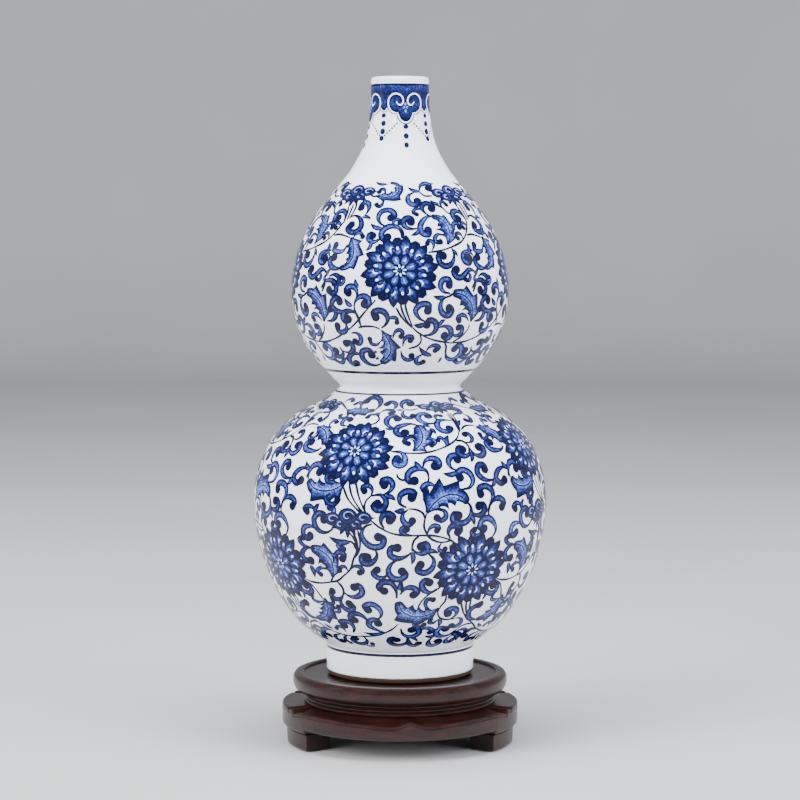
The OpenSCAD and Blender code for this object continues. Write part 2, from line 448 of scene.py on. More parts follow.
def even_path(points, step):
    """The smooth curve through flat points, resampled at even steps."""
    dense = smooth_curve(points, 12)
    run = np.concatenate([[0], np.cumsum(np.linalg.norm(np.diff(dense, axis=0), axis=1))])
    count = max(4, int(run[-1] / step) + 1)
    at = np.linspace(0, run[-1], count)
    return np.stack([np.interp(at, run, dense[:, 0]), np.interp(at, run, dense[:, 1])], axis=1), run[-1]


def ease(t):
    t = np.clip(t, 0, 1)
    return t * t * (3 - 2 * t)


STROKE_ACROSS = (-1, -0.78, -0.4, 0, 0.4, 0.78, 1)
STROKE_INK = np.array([1.0, 1.0, 0.62, 0.44, 0.58, 0.98, 1.0])


def hook(flat):
    """A three-point curl: from the tail to the outer point, then half a turn to the head."""
    tail, outer, head = flat
    middle, arm = (outer + head) / 2, outer - (outer + head) / 2
    side = np.array([-arm[1], arm[0]])
    turn = 1.0 if np.dot(side, outer - tail) > 0 else -1.0
    pull = 0.44 * np.linalg.norm(outer - tail)
    lead = outer - turn * side / np.linalg.norm(side) * pull
    points = [tail, (tail + lead * 2) / 3, (lead + outer) / 2]
    for angle in np.linspace(0, 180, 6):
        a = angle * RAD
        points.append(middle + arm * math.cos(a) + turn * side * math.sin(a))
    return points


def curl(brush, points, size=1.0, tone=1.0, layer=2):
    """A scroll that swells from a thin tail to a round dark head."""
    flat, radius = brush.chart(points)
    if len(flat) == 3:
        flat = hook(flat)
    path, length = even_path(flat, 1.05)
    size *= float(np.clip(length / 17, 0.72, 1.12))
    head = 2.3 * size
    step = path[-1] - path[-2]
    step /= np.linalg.norm(step)
    extra = np.array([path[-1] + step * head * q for q in (0.35, 0.65, 0.87, 1.0)])
    along = np.linspace(0, length, len(path))
    path = np.vstack([path, extra])
    along = np.concatenate([along, length + head * np.array([0.35, 0.65, 0.87, 1.0])])
    t = along / length
    body = (0.5 + 1.3 * ease(t / 0.55)) * size
    off = np.abs(along - length)
    ball = np.sqrt(np.maximum(head**2 - off**2, 0.0004))
    width = np.where(along > length, ball, np.maximum(body, np.where(off < head, ball, 0)))
    ink = np.tile(STROKE_INK, (len(path), 1))
    ink = 1 - (1 - ink) * ease((t - 0.08) / 0.22)[:, None]
    ink = 1 - (1 - ink) * (1 - 0.72 * ease((along - length + head * 1.7) / head))[:, None]
    tone = tone * (1 + 0.1 * rng.standard_normal())
    brush.ribbon((path, radius), width, width, np.clip(ink * tone, 0, 1.0), STROKE_ACROSS, layer)


def stem(brush, points, width=0.8, layer=1):
    flat, radius = brush.chart(points)
    path, length = even_path(flat, 1.7)
    t = np.linspace(0, 1, len(path))
    half = width * (0.85 + 0.15 * np.sin(t * length * 0.35)) * (0.7 + 0.3 * ease(8 * np.minimum(t, 1 - t)))
    ink = np.full((len(path), 3), 0.95)
    brush.ribbon((path, radius), half, half, ink, (-1, 0, 1), layer)


def leaflet(brush, base, tip, width, layer=2):
    """A small pointed leaf with a dark tip."""
    flat, radius = brush.chart([base, tip])
    run = flat[1] - flat[0]
    bend = np.array([-run[1], run[0]]) * 0.12
    path, _ = even_path([flat[0], flat[0] + run * 0.5 + bend, flat[1]], 0.9)
    t = np.linspace(0, 1, len(path))
    half = 1.3 * width * np.sin(np.pi * t**0.75) ** 0.8 + 0.05
    ink = np.tile(STROKE_INK, (len(path), 1))
    ink = 1 - (1 - ink) * (1 - 0.85 * ease((t - 0.45) / 0.4))[:, None]
    brush.ribbon((path, radius), half, half, np.clip(ink, 0, 1), STROKE_ACROSS, layer)


DOT_SIDES = 10


def dot(brush, place, rx, ry, ink=1.0, layer=4):
    """An oval spot."""
    flat, radius = brush.chart([place])
    a = np.linspace(0, 2 * np.pi, DOT_SIDES + 1)
    reach = np.array([0.02, 0.75, 1.0])[:, None]
    s = flat[0, 1] + ry * reach * np.sin(a)[None, :]
    x = flat[0, 0] + rx * reach * np.cos(a)[None, :]
    brush.lay(x / (radius * RAD), s, np.array([[ink], [ink], [0.85 * ink]]) + 0 * x, LIFT + LAYER * layer)


LEAF_ACROSS = (-1, -0.86, -0.5, -0.12, 0.12, 0.5, 0.86, 1)


def leaf(brush, spine, left, right, teeth=(3, 3), dark_left=False, layer=2):
    """A large toothed leaf along its midrib, one half washed light and dotted, one half dark."""
    flat, radius = brush.chart(spine)
    path, _ = even_path(flat, 0.9)
    t = np.linspace(0, 1, len(path))
    at = np.linspace(0, 1, len(left))
    halves = []
    for widths, count in ((left, teeth[0]), (right, teeth[1])):
        w = np.interp(t, at, widths)
        w = np.convolve(np.pad(w, 3, mode="edge"), np.ones(7) / 7, "valid")
        saw = (t * (count + 1)) % 1.0
        halves.append(w * (0.86 + 0.85 * saw**2) + 0.05)
    light = np.array([1.0, 0.92, 0.40, 0.26, 0.34, 0.58, 0.95, 1.0])
    ink = np.tile(light[::-1] if dark_left else light, (len(path), 1))
    ink = 1 - (1 - ink) * (ease(t / 0.1) * ease((1 - t) / 0.12))[:, None]
    brush.ribbon((path, radius), halves[0], halves[1], ink, LEAF_ACROSS, layer)
    rib = np.full(len(path), 0.42)
    brush.ribbon((path, radius), rib, rib, np.ones((len(path), 3)), (-1, 0, 1), layer + 1)
    for i in range(3, len(path) - 3, 2):
        for share in (-0.62, -0.32, 0.32, 0.62):
            reach = share * (halves[0] if share > 0 else halves[1])[i]
            if abs(reach) < 0.5:
                continue
            step = path[i + 1] - path[i - 1]
            normal = np.array([-step[1], step[0]]) / np.linalg.norm(step)
            spot = path[i] + normal * reach
            spot_at(brush, spot, radius, 0.4, 0.9, layer + 1)


def spot_at(brush, flat, radius, size, ink, layer):
    a = np.linspace(0, 2 * np.pi, 7)
    reach = np.array([0.05, 1.0])[:, None]
    x = flat[0] + size * reach * np.cos(a)[None, :]
    s = flat[1] + size * reach * np.sin(a)[None, :]
    brush.lay(x / (radius * RAD), s, ink + 0 * x, LIFT + LAYER * layer)


# ------------------------------------------------------------------ flowers and buds

PETAL_ACROSS = (-1, -0.8, -0.45, 0, 0.45, 0.8, 1)


def petal(brush, centre, scale, angle, start, end, width, hook_by=0.0, inks=(1.0, 0.35, 1.0),
          blunt=False, layer=3):
    """A petal pointing away from a flower's centre; inks are its edge, its middle and its tip."""
    flat, radius = brush.chart([centre])
    t = np.linspace(0, 1, 10)
    reach = start + (end - start) * t
    turn = (angle + hook_by * t**2.5) * RAD
    path = np.stack([flat[0, 0] + scale[0] * reach * np.cos(turn),
                     flat[0, 1] + scale[1] * reach * np.sin(turn)], axis=1)
    if blunt:
        half = width * np.sqrt(np.clip(1 - (2 * t**0.8 - 1) ** 2, 0.0, 1)) + 0.03
    else:
        half = width * (np.sin(np.pi * t**0.85) ** 0.75) + 0.03
    edge, middle, tip = inks
    row = np.array([edge, 0.9 * edge, middle * 1.15, middle, middle * 1.15, 0.9 * edge, edge])
    ink = np.tile(row, (len(t), 1))
    ink = ink + (tip - ink) * ease((t - 0.55) / 0.35)[:, None]
    brush.ribbon((path, radius), half, half, np.clip(ink, -0.2, 1), PETAL_ACROSS, layer)


def flower(brush, centre, wide, high):
    """A full lotus: three-pointed outer petals, a ring of crescents, inner petals and a rosette."""
    scale = (wide / 24, high / 24)
    outer = 10
    for k in range(outer):
        a = 360 / outer * k + 5
        petal(brush, centre, scale, a + 18, 10, 22.3, 3.6, 0, (1.0, 0.55, 1.0), layer=1)
        petal(brush, centre, scale, a + 11, 12, 22.6, 2.2, 5, (1.0, 0.7, 1.0), layer=2)
        petal(brush, centre, scale, a - 11, 12, 22.6, 2.2, -5, (1.0, 0.7, 1.0), layer=2)
    for k in range(outer):
        a = 360 / outer * k + 5
        petal(brush, centre, scale, a, 7, 24.3, 4.4, 4, (1.0, 0.42, 1.0), layer=3)
        petal(brush, centre, scale, a, 16.5, 22.5, 0.7, 4, (0.8, 0.7, 1.0), layer=4)
        petal(brush, centre, scale, a + 18, 8, 17.4, 2.9, 0, (1.0, 0.45, 0.95), layer=4)
        petal(brush, centre, scale, a - 3, 12.8, 16.4, 1.75, 0, (0.12, 0.0, 0.1), blunt=True, layer=5)
        petal(brush, centre, scale, a - 6, 12.2, 15.9, 1.55, 0, (1.0, 0.6, 1.0), blunt=True, layer=6)
        petal(brush, centre, scale, a + 19, 13.6, 16.2, 0.8, 0, (0.1, 0, 0.3), blunt=True, layer=7)
    for k in range(8):
        a = 45 * k + 20
        petal(brush, centre, scale, a + 22, 4, 11.8, 3.0, 0, (1.0, 0.72, 1.0), layer=8)
        petal(brush, centre, scale, a, 3.2, 12.4, 3.5, 0, (1.0, 0.40, 1.0), layer=9)
        petal(brush, centre, scale, a, 6.0, 9.6, 0.5, 0, (0.25, 0.15, 0.4), layer=10)
    for k in range(8):
        petal(brush, centre, scale, 45 * k, 0.4, 5.0, 1.75, 0, (1.0, 0.9, 1.0), blunt=True, layer=11)
        petal(brush, centre, scale, 45 * k + 8, 1.6, 4.1, 0.55, 0, (0.2, 0.05, 0.2), blunt=True, layer=12)
    petal(brush, centre, scale, 0, -1.2, 1.2, 1.2, 0, (1.0, 0.6, 1.0), blunt=True, layer=13)


def lobe(brush, centre, x, y, rx, ry, layer):
    """A round cloud lobe with a dark rim and a light spiral line in it."""
    flat, radius = brush.chart([centre])
    middle = flat[0] + np.array([x, y])
    a = np.linspace(0, 2 * np.pi, 21)
    reach = np.array([0.03, 0.5, 0.78, 0.86, 1.0])[:, None]
    px = middle[0] + rx * reach * np.cos(a)[None, :]
    py = middle[1] + ry * reach * np.sin(a)[None, :]
    ink = np.array([0.95, 0.8, 0.62, 1.0, 1.0])[:, None] + 0 * px
    brush.lay(px / (radius * RAD), py, ink, LIFT + LAYER * layer)
    turn = np.linspace(0.3, 5.4, 14)
    fade = (0.66 - 0.085 * turn)[:, None]
    spiral = middle + fade * np.stack([rx * np.cos(turn), ry * np.sin(turn)], axis=1)
    half = 0.34 * np.sin(np.pi * np.linspace(0.08, 0.95, 14)) + 0.05
    brush.ribbon((spiral, radius), half, half, np.full((14, 3), 0.22), (-1, 0, 1), layer + 1)


def bud(brush, centre, size):
    """A bud seen from the side: cloud lobes with pointed ends over a dark calyx."""
    scale = (size, size)
    for a, reach, width in ((172, 14.5, 1.9), (6, 13.5, 1.7), (-28, 9.5, 1.9), (206, 9.5, 1.9),
                            (-60, 8, 1.8), (240, 8, 1.8), (-90, 8.5, 1.8)):
        petal(brush, centre, scale, a, 1.0, reach, width, 0, (1.0, 0.7, 1.0), layer=1)
    for k, (x, y, rx, ry) in enumerate(((-7.6, 0.2, 4.4, 3.2), (7.8, 1.2, 4.2, 3.0), (-3.6, -2.2, 3.4, 2.6),
                                        (3.8, -1.8, 3.4, 2.6), (0.2, 1.8, 4.8, 3.8))):
        lobe(brush, centre, x * size, y * size, rx * size, ry * size, 3 + 2 * k)


# ------------------------------------------------------------------ the upper bulb

def upper_stems(brush):
    for line in (
        [(6.6, 224.8), (8.8, 222.4), (12, 220), (15.3, 218.2), (19.6, 216.6), (25, 215.5), (30, 214.7),
         (35, 214.8), (40, 215.3), (43, 216.2), (48, 218), (53, 221), (58, 224.2), (63, 229), (67.5, 234.6),
         (71.5, 239.2), (73.2, 241.7)],
        [(-2, 237), (0.2, 232.2), (2.7, 228.5), (6.3, 224.6)],
        [(0.2, 239), (1.6, 233.4), (3.4, 229.3), (5.9, 225.2)],
        [(2.5, 240), (3.4, 234.6), (4.8, 230.1), (6.6, 225)],
        [(-22.7, 224.4), (-20, 225.2), (-17, 225.3), (-13.4, 225), (-10.7, 223.6)],
        [(5, 211.5), (8, 212.3), (10.2, 213.3), (11.8, 216), (11.3, 219.3), (10.5, 221)],
        [(15.5, 270.5), (18.4, 270.8), (22.7, 271.5), (27, 272.7), (31, 274.1), (35, 275.7), (38.8, 278),
         (42.5, 281.6), (45.2, 285.8), (47.5, 289.8)],
        [(-34.8, 301.8), (-33.2, 298.6), (-33.6, 294.2), (-34.8, 290.8)],
        [(-36.3, 300), (-36, 295), (-36, 290)],
        [(-39.8, 298.5), (-38.4, 295), (-37.9, 291.7), (-37.7, 288.2)],
        [(-42.2, 280.7), (-38.8, 281.4), (-34.6, 280.7), (-29.8, 279.3)],
        [(31.4, 215.3), (35, 217.4), (38, 220.5), (39.7, 223.2), (40.2, 226)],
        [(26, 215), (27.8, 212.5), (28.4, 209.3), (29.6, 206.9), (32.5, 205.2), (36, 204.6), (40.5, 206)],
        [(26.5, 305), (24.5, 305), (20.3, 304.9), (17, 306.8), (15.5, 308)],
        [(-24, 306), (-22.7, 305), (-19.4, 304.5)],
        [(1, 279), (1, 281), (0, 283.8), (-2.3, 286)],
        [(30, 246), (28, 245), (25, 243)],
    ):
        stem(brush, line)
    for line in (
        [(-21.3, 225.6), (-21.7, 228.5), (-22.7, 231.7), (-23.8, 235), (-24.2, 238)],
        [(40.7, 246), (43, 251.5)],
        [(23.6, 302.3), (27.4, 299.4), (31.2, 297.9), (34.5, 294.2), (37.5, 293.8)],
    ):
        stem(brush, line, 1.0)


UPPER_CURLS = [
    [(44, 256), (42, 259), (39, 260), (36, 257), (33, 255), (30, 256), (29, 259), (31, 260)],
    [(41, 259), (39, 257), (36, 254)],
    [(-24, 234.8), (-30, 233.9), (-35.5, 235), (-37.8, 238), (-36.4, 241.6), (-33.6, 242.4),
     (-32.6, 240.4)],
    [(-24.2, 237.5), (-23.5, 240.4), (-20, 243.8), (-17, 243), (-15.9, 240.4), (-17, 238.2), (-18.5, 239)],
    [(-23, 242), (-22.3, 245), (-23, 248), (-25, 249.7), (-27.8, 249), (-28.8, 246.7), (-27.2, 245.8)],
    [(-22, 231.8), (-24.5, 234), (-27.5, 234.6), (-30.5, 233), (-31.4, 230.4), (-29.8, 228.3),
     (-28, 229.6)],
    [(-30.8, 229), (-29.8, 226.5), (-30, 223.2), (-32.7, 221.3), (-35.6, 222.3), (-35.4, 225.2)],
    [(-10, 224.4), (-8, 226), (-6.6, 228.5), (-6.5, 231), (-8, 234), (-11, 235.2), (-14, 233.5),
     (-12.6, 231)],
    [(-6.6, 228.2), (-6, 229.6), (-4, 230.9), (-1.8, 230.4), (-1.6, 227.9)],
    [(-27.5, 220.8), (-25, 221.2), (-22.6, 219.5), (-22.3, 216.5), (-24.6, 214.2), (-26, 215.8)],
    [(-36.5, 209.3), (-33.5, 208.4), (-30, 209.3), (-28.4, 212), (-30, 215), (-32.5, 214.2)],
    [(-38, 211.8), (-37, 208), (-40, 205.5), (-44, 206.5), (-44.4, 209.8), (-42, 209.3)],
    [(-25.5, 207.2), (-29, 207.6), (-33, 206), (-34.6, 203.5), (-32.6, 200.8), (-29.6, 201.8)],
    [(-35.5, 205.6), (-39, 203.2), (-43, 201.4), (-46.5, 203)],
    [(-12, 202), (-16.5, 200.6), (-21.5, 201.8), (-24.2, 205.5), (-22.5, 209.8), (-18.5, 210.3),
     (-17.5, 207)],
    [(-10.8, 216.2), (-13, 214), (-16.3, 214.4), (-17, 217.4)],
    [(13.5, 228), (9.6, 231), (8, 235), (10.6, 238.8), (15, 238.2), (14.4, 235)],
    [(13, 219.7), (17.5, 220.6), (19.7, 224), (18.5, 228), (15.2, 229), (14.3, 226.3)],
    [(20.8, 224.5), (25, 225.2), (28.5, 222.5), (29, 219.5), (27, 217.5), (25, 219.4)],
    [(28.8, 221.4), (30.6, 219.6), (33.6, 219.3), (35.7, 221.4), (35, 224.4), (33, 224.2)],
    [(26.5, 245.4), (22.9, 246.5), (21, 250), (22.8, 253.8), (26.4, 253.2), (26, 250.7)],
    [(26, 243.8), (22.5, 242), (21, 237.5), (22.6, 233.2), (26.3, 232), (27.8, 235.2), (26, 236.4)],
    [(39, 228), (36.8, 231), (33.6, 232), (31.4, 230), (32.8, 228.6)],
    [(43, 228), (46.5, 228.5), (49.6, 232), (49, 236), (46.3, 235.6)],
    [(15.5, 209.3), (17.5, 212.5), (21, 213.3), (23.5, 211.5), (21.5, 210.2)],
    [(15, 208), (11.5, 206.4), (10.2, 203.6), (12.2, 201.6), (15, 202.8)],
    [(28.6, 209), (29.8, 205.8), (33, 204), (37.5, 204.5), (40, 208), (38.5, 212), (35.8, 212.9),
     (34.2, 210.8)],
    [(1.5, 213), (2.4, 217), (4.2, 219.2), (7, 218.5), (5.8, 216.6)],
    [(0.5, 210), (1.5, 206.5), (4.4, 204.3), (7.6, 204.9), (7, 207)],
    [(-4, 218), (-2.8, 221.6), (-0.6, 223.3), (1.5, 221.4), (0.6, 219.2)],
    [(-31, 275), (-32.5, 271.6), (-36, 270.7), (-39.4, 272), (-38.6, 274.8)],
    [(-31, 261.5), (-35.2, 260.4), (-39.3, 262), (-40.8, 265.4), (-38, 267.5)],
    [(-41, 267), (-42.5, 269.8), (-45, 270.5), (-47, 267)],
    [(-27.8, 278.8), (-27, 281.2), (-24, 282.4), (-22, 280)],
    [(-34.5, 291.7), (-32, 292.8), (-28.5, 292.3), (-25.3, 289.5), (-24.5, 286), (-27, 283), (-31, 283),
     (-33.5, 285.5), (-31.5, 287.2)],
    [(-23.6, 293), (-22.3, 296), (-22.8, 299.2), (-25.3, 301), (-28.6, 300.2), (-28.4, 297.6)],
    [(-12, 306), (-13, 308.6), (-16, 309.4), (-17.4, 307.4)],
    [(-13, 303), (-12.8, 300.2), (-15, 298.2), (-17.2, 299.6)],
    [(-8, 286), (-12, 288), (-14, 291), (-13, 295), (-9, 296.3), (-5, 295.3), (-3.5, 292.5), (-5.8, 291.6)],
    [(1.5, 279), (2, 282), (-0.5, 285.3), (-5, 286.5), (-9, 285), (-11, 281.5), (-9.5, 278.5),
     (-7.2, 279.8)],
    [(-2.4, 285.8), (-4, 287.2), (-3.5, 290), (-0.6, 290.5), (-0.2, 288.4)],
    [(-11, 280.5), (-12.5, 278), (-15.5, 276.8), (-18.4, 279), (-17.5, 281.8), (-15.9, 280.6)],
    [(-36, 250.8), (-33, 250.5), (-30.5, 252), (-30, 254.2), (-32, 255)],
    [(-45, 248.5), (-42, 252.6), (-38, 253.2), (-35, 250.5), (-35, 246.6), (-37.4, 245.2), (-39.3, 247.2)],
    [(45, 255.6), (48.5, 256.8), (51.8, 255), (51.6, 251.8), (48.8, 251.6)],
    [(24, 292.2), (19, 292.4), (14.8, 290), (12.3, 285.8), (13.6, 281.8), (17.2, 281.5), (17, 284)],
    [(10.8, 285), (7, 284.8), (3.2, 286), (2, 289), (4.2, 291.5), (7.4, 290.8), (6.8, 288.8)],
    [(26.5, 280.5), (23, 281.5), (20.4, 279.4), (21, 276.6), (23.4, 276.9)],
    [(31.5, 282.2), (34.2, 284.2), (35.2, 287.8), (38.2, 288), (38.8, 285.6)],
    [(19.5, 292.8), (16.6, 295), (15.5, 297.6), (17.5, 300), (21, 300.3), (24, 298.5), (22.4, 297)],
    [(16.5, 295.4), (13.5, 297), (10.5, 296.8), (8.9, 294.6), (11, 293.7)],
    [(11.5, 307), (7.3, 305.6), (6, 302.2), (8.8, 299.7), (13, 299.9), (13.2, 301.8)],
    [(16.5, 308), (18, 311), (21.5, 312.3), (26, 312.6), (28, 311), (25, 309.6)],
    [(31.5, 298), (31, 300.4), (33.4, 301.6), (35.8, 299.6)],
    [(47.2, 289), (46, 293.6), (42.4, 295.8), (38.6, 295), (37.2, 292.4), (38.6, 289.9), (41, 291.2)],
    [(45.3, 284.5), (45.2, 287.2), (42.8, 288.5), (41, 286.8), (42.2, 285.4)],
    [(17.5, 271.5), (19, 274), (18.5, 277), (16.4, 277.8), (15.5, 275.9)],
    [(30, 273), (30.5, 268), (28, 263.2), (24.5, 262), (21.3, 265), (21.5, 269), (24, 268.4)],
    [(39, 278.2), (38.6, 281), (36.6, 282.3), (34.5, 280.6), (35.5, 279)],
    [(44, 271.6), (39, 270.9), (36.2, 268.3), (37, 264.8), (40.2, 264.2), (40.6, 266.6)],
]
UPPER_LEAFLETS = [
    ((-25, 237.5), (-29.7, 242.5), 1.3), ((-21.5, 249), (-23.8, 254.8), 1.1),
    ((-25.5, 208), (-28.5, 209.8), 0.7),
    ((13.5, 227), (7, 226.3), 1.4), ((21, 225.5), (24.5, 229.5), 1.2), ((23.8, 243.5), (17, 244), 1.2),
    ((20, 206.6), (10.8, 212.8), 1.4), ((26.5, 205.8), (25.3, 202), 0.8),
    ((-42.5, 269.5), (-43.8, 274.8), 1.1),
    ((-25.5, 292), (-18.7, 290.8), 1.1), ((-25.5, 300.5), (-28.4, 304), 0.9),
    ((-11, 312.2), (-24, 313.8), 0.9),
    ((-10.5, 285), (-18.6, 288), 1.3), ((-16, 276.8), (-19, 271.3), 1.1), ((-43, 252), (-41.7, 257.2), 1.0),
    ((43.5, 256.5), (46, 260.3), 1.0), ((12, 284.5), (6.2, 280.8), 1.1), ((17, 307.7), (6.6, 310.4), 1.2),
    ((26, 311.5), (32.8, 312.5), 0.7), ((30, 300), (23.5, 302.3), 1.0), ((29.5, 272), (33, 267.6), 1.0),
    ((43, 272), (41.3, 276.3), 1.1), ((-14, 210.2), (-16.6, 208.4), 0.8),
    ((-13.5, 206.4), (-15.6, 204.2), 0.8),
]


def paint_upper_bulb(material):
    brush = Brush(lean=3.5)
    upper_stems(brush)
    leaf(brush, [(-10, 223.2), (-7.6, 219), (-5.6, 214), (-5.6, 209.5), (-8.5, 205), (-12.5, 202.3)],
         [0.2, 2.6, 4.2, 4.6, 3.6, 1.2], [0.2, 3.2, 5.6, 6.0, 3.0, 0.8])
    leaf(brush, [(40.6, 227.5), (41.2, 233), (39.2, 239.6), (34.4, 244.2), (28, 245.8)],
         [0.4, 4.6, 6.6, 4.6, 1.0], [0.3, 5.2, 5.4, 4.4, 0.9])
    leaf(brush, [(-29.3, 279.6), (-27, 275), (-26, 270), (-27, 265.4), (-30, 262), (-33.5, 260.8)],
         [0.4, 5.0, 5.4, 4.8, 3.2, 0.8], [0.4, 4.6, 4.6, 3.4, 2.2, 0.6], dark_left=True)
    leaf(brush, [(-20, 305), (-15, 304.4), (-9, 304.2), (-4, 305.4), (-0.9, 308.6),
                (-2.5, 312), (-9, 313.2)],
         [0.4, 2.8, 3.6, 3.0, 2.4, 1.4, 0.6], [0.4, 2.2, 3.4, 3.6, 2.4, 1.2, 0.5], dark_left=True)
    leaf(brush, [(27.6, 275), (30, 279), (30.8, 284), (29.5, 288.6), (26, 291.6), (21, 292.6)],
         [0.4, 4.0, 6.6, 6.0, 3.4, 0.8], [0.4, 2.6, 4.0, 3.6, 2.4, 0.6])
    for points in UPPER_CURLS:
        curl(brush, points, 1.08, 1.06)
    for base, tip, width in UPPER_LEAFLETS:
        leaflet(brush, base, tip, width)
    flower(brush, (0, 259.5), 26.5, 23)
    bud(brush, (-39.5, 306.5), 1.25)
    brush.mesh("painting_upper_bulb", material)


# ------------------------------------------------------------------ the lower bulb

def lower_stems(brush):
    for line in (
        [(-47, 71), (-43, 68), (-40, 66), (-38, 62), (-36, 57)],
        [(-22.5, 130), (-20, 122), (-15.5, 114.5), (-11.5, 109.5)],
        [(-20, 132), (-18.5, 124), (-14.7, 115), (-11.3, 109.5)],
        [(-17.3, 132.5), (-15.8, 124), (-13.3, 115), (-11.3, 109.5)],
        [(-11.3, 109.5), (-7.5, 104.8), (-3, 101.3), (2, 100), (8, 100), (13, 99.6), (17, 98),
         (20, 96), (22.5, 92)],
        [(10, 100), (12, 97.5), (15, 95.5), (18, 95.7), (20, 96.5)],
        [(-4, 150.3), (0, 149.5), (5, 149), (12, 149.5), (18, 151.5), (23, 154), (27, 157), (30, 161)],
        [(30, 160.4), (29.8, 166), (28.6, 170.4)], [(30.2, 161), (30.6, 167), (30, 171)],
        [(30.4, 161), (31.8, 167), (31.6, 171)],
        [(31.5, 161.5), (34, 163.3), (38, 163.8), (41, 163.5)],
        [(10.3, 100.3), (9, 105), (9.3, 110), (10, 113.5)],
        [(3.5, 134), (0.8, 133.5), (-0.8, 134.8), (-1.2, 137.3)],
        [(9.3, 110), (8.8, 113), (6, 115.8), (3, 116.3)],
        [(36.5, 108), (35.3, 112), (36, 117), (37.5, 120.5)],
        [(-16.5, 165), (-13.5, 165.6), (-11.5, 167.8), (-12.5, 170), (-12.3, 172)],
        [(3, 173.3), (7, 173.1), (12, 173.8)],
        [(-47.5, 176), (-44, 175), (-40, 173.8), (-36, 172.6)],
        [(-19.6, 102), (-17.3, 96.5), (-16.8, 90), (-18.2, 85), (-20, 78), (-23, 74), (-26, 70.5),
         (-30, 69),
         (-35, 67.8), (-40, 68.2), (-44, 70)],
        [(-16, 103), (-15.2, 95), (-16, 89), (-18.2, 85)],
        [(-18, 102), (-16.4, 95), (-16.4, 89), (-18.2, 85)],
        [(-12, 110.5), (-13.4, 116), (-12.8, 121), (-10.8, 124)],
        [(-29.5, 69.5), (-28.3, 72)], [(-17.2, 91), (-17.8, 94.5), (-19.5, 96)],
        [(7.5, 100), (5.3, 97), (4.6, 93), (4.6, 90)],
        [(0.5, 64), (1, 68), (0.6, 72)],
        [(17, 66.8), (14, 64.3), (10.8, 60.5), (8.8, 56.5), (8.3, 54.3)],
        [(20, 62), (20.2, 58), (18.3, 53.8), (17.6, 50), (18.8, 46.8), (21, 45.2), (25, 44.8), (28, 45.3)],
        [(27.5, 57.5), (29.5, 52), (33, 46), (37.5, 42)],
        [(30.5, 57), (31.8, 51), (34.5, 45.5), (37.5, 42)],
        [(33, 57), (33.5, 52), (35.5, 46), (37.8, 42)],
        [(37.5, 42), (40, 40.3), (44, 37), (49, 34.4), (54, 33), (60, 32.6), (66, 32.9),
         (70, 33.2), (75, 34),
         (80, 36.3), (84, 39), (87, 42.5)],
        [(40, 40.3), (35, 40), (31.5, 37.5), (30.5, 34.5)],
        [(-38.5, 137.5), (-39.5, 133)],
    ):
        stem(brush, line)
    for line in (
        [(26, 155.6), (29, 155.3), (31, 153), (31.3, 150)],
        [(-26.5, 69.6), (-24.8, 66.5), (-24.4, 63), (-25.5, 60)],
        [(8.8, 121), (10.6, 131), (11.3, 135)],
    ):
        stem(brush, line, 0.95)


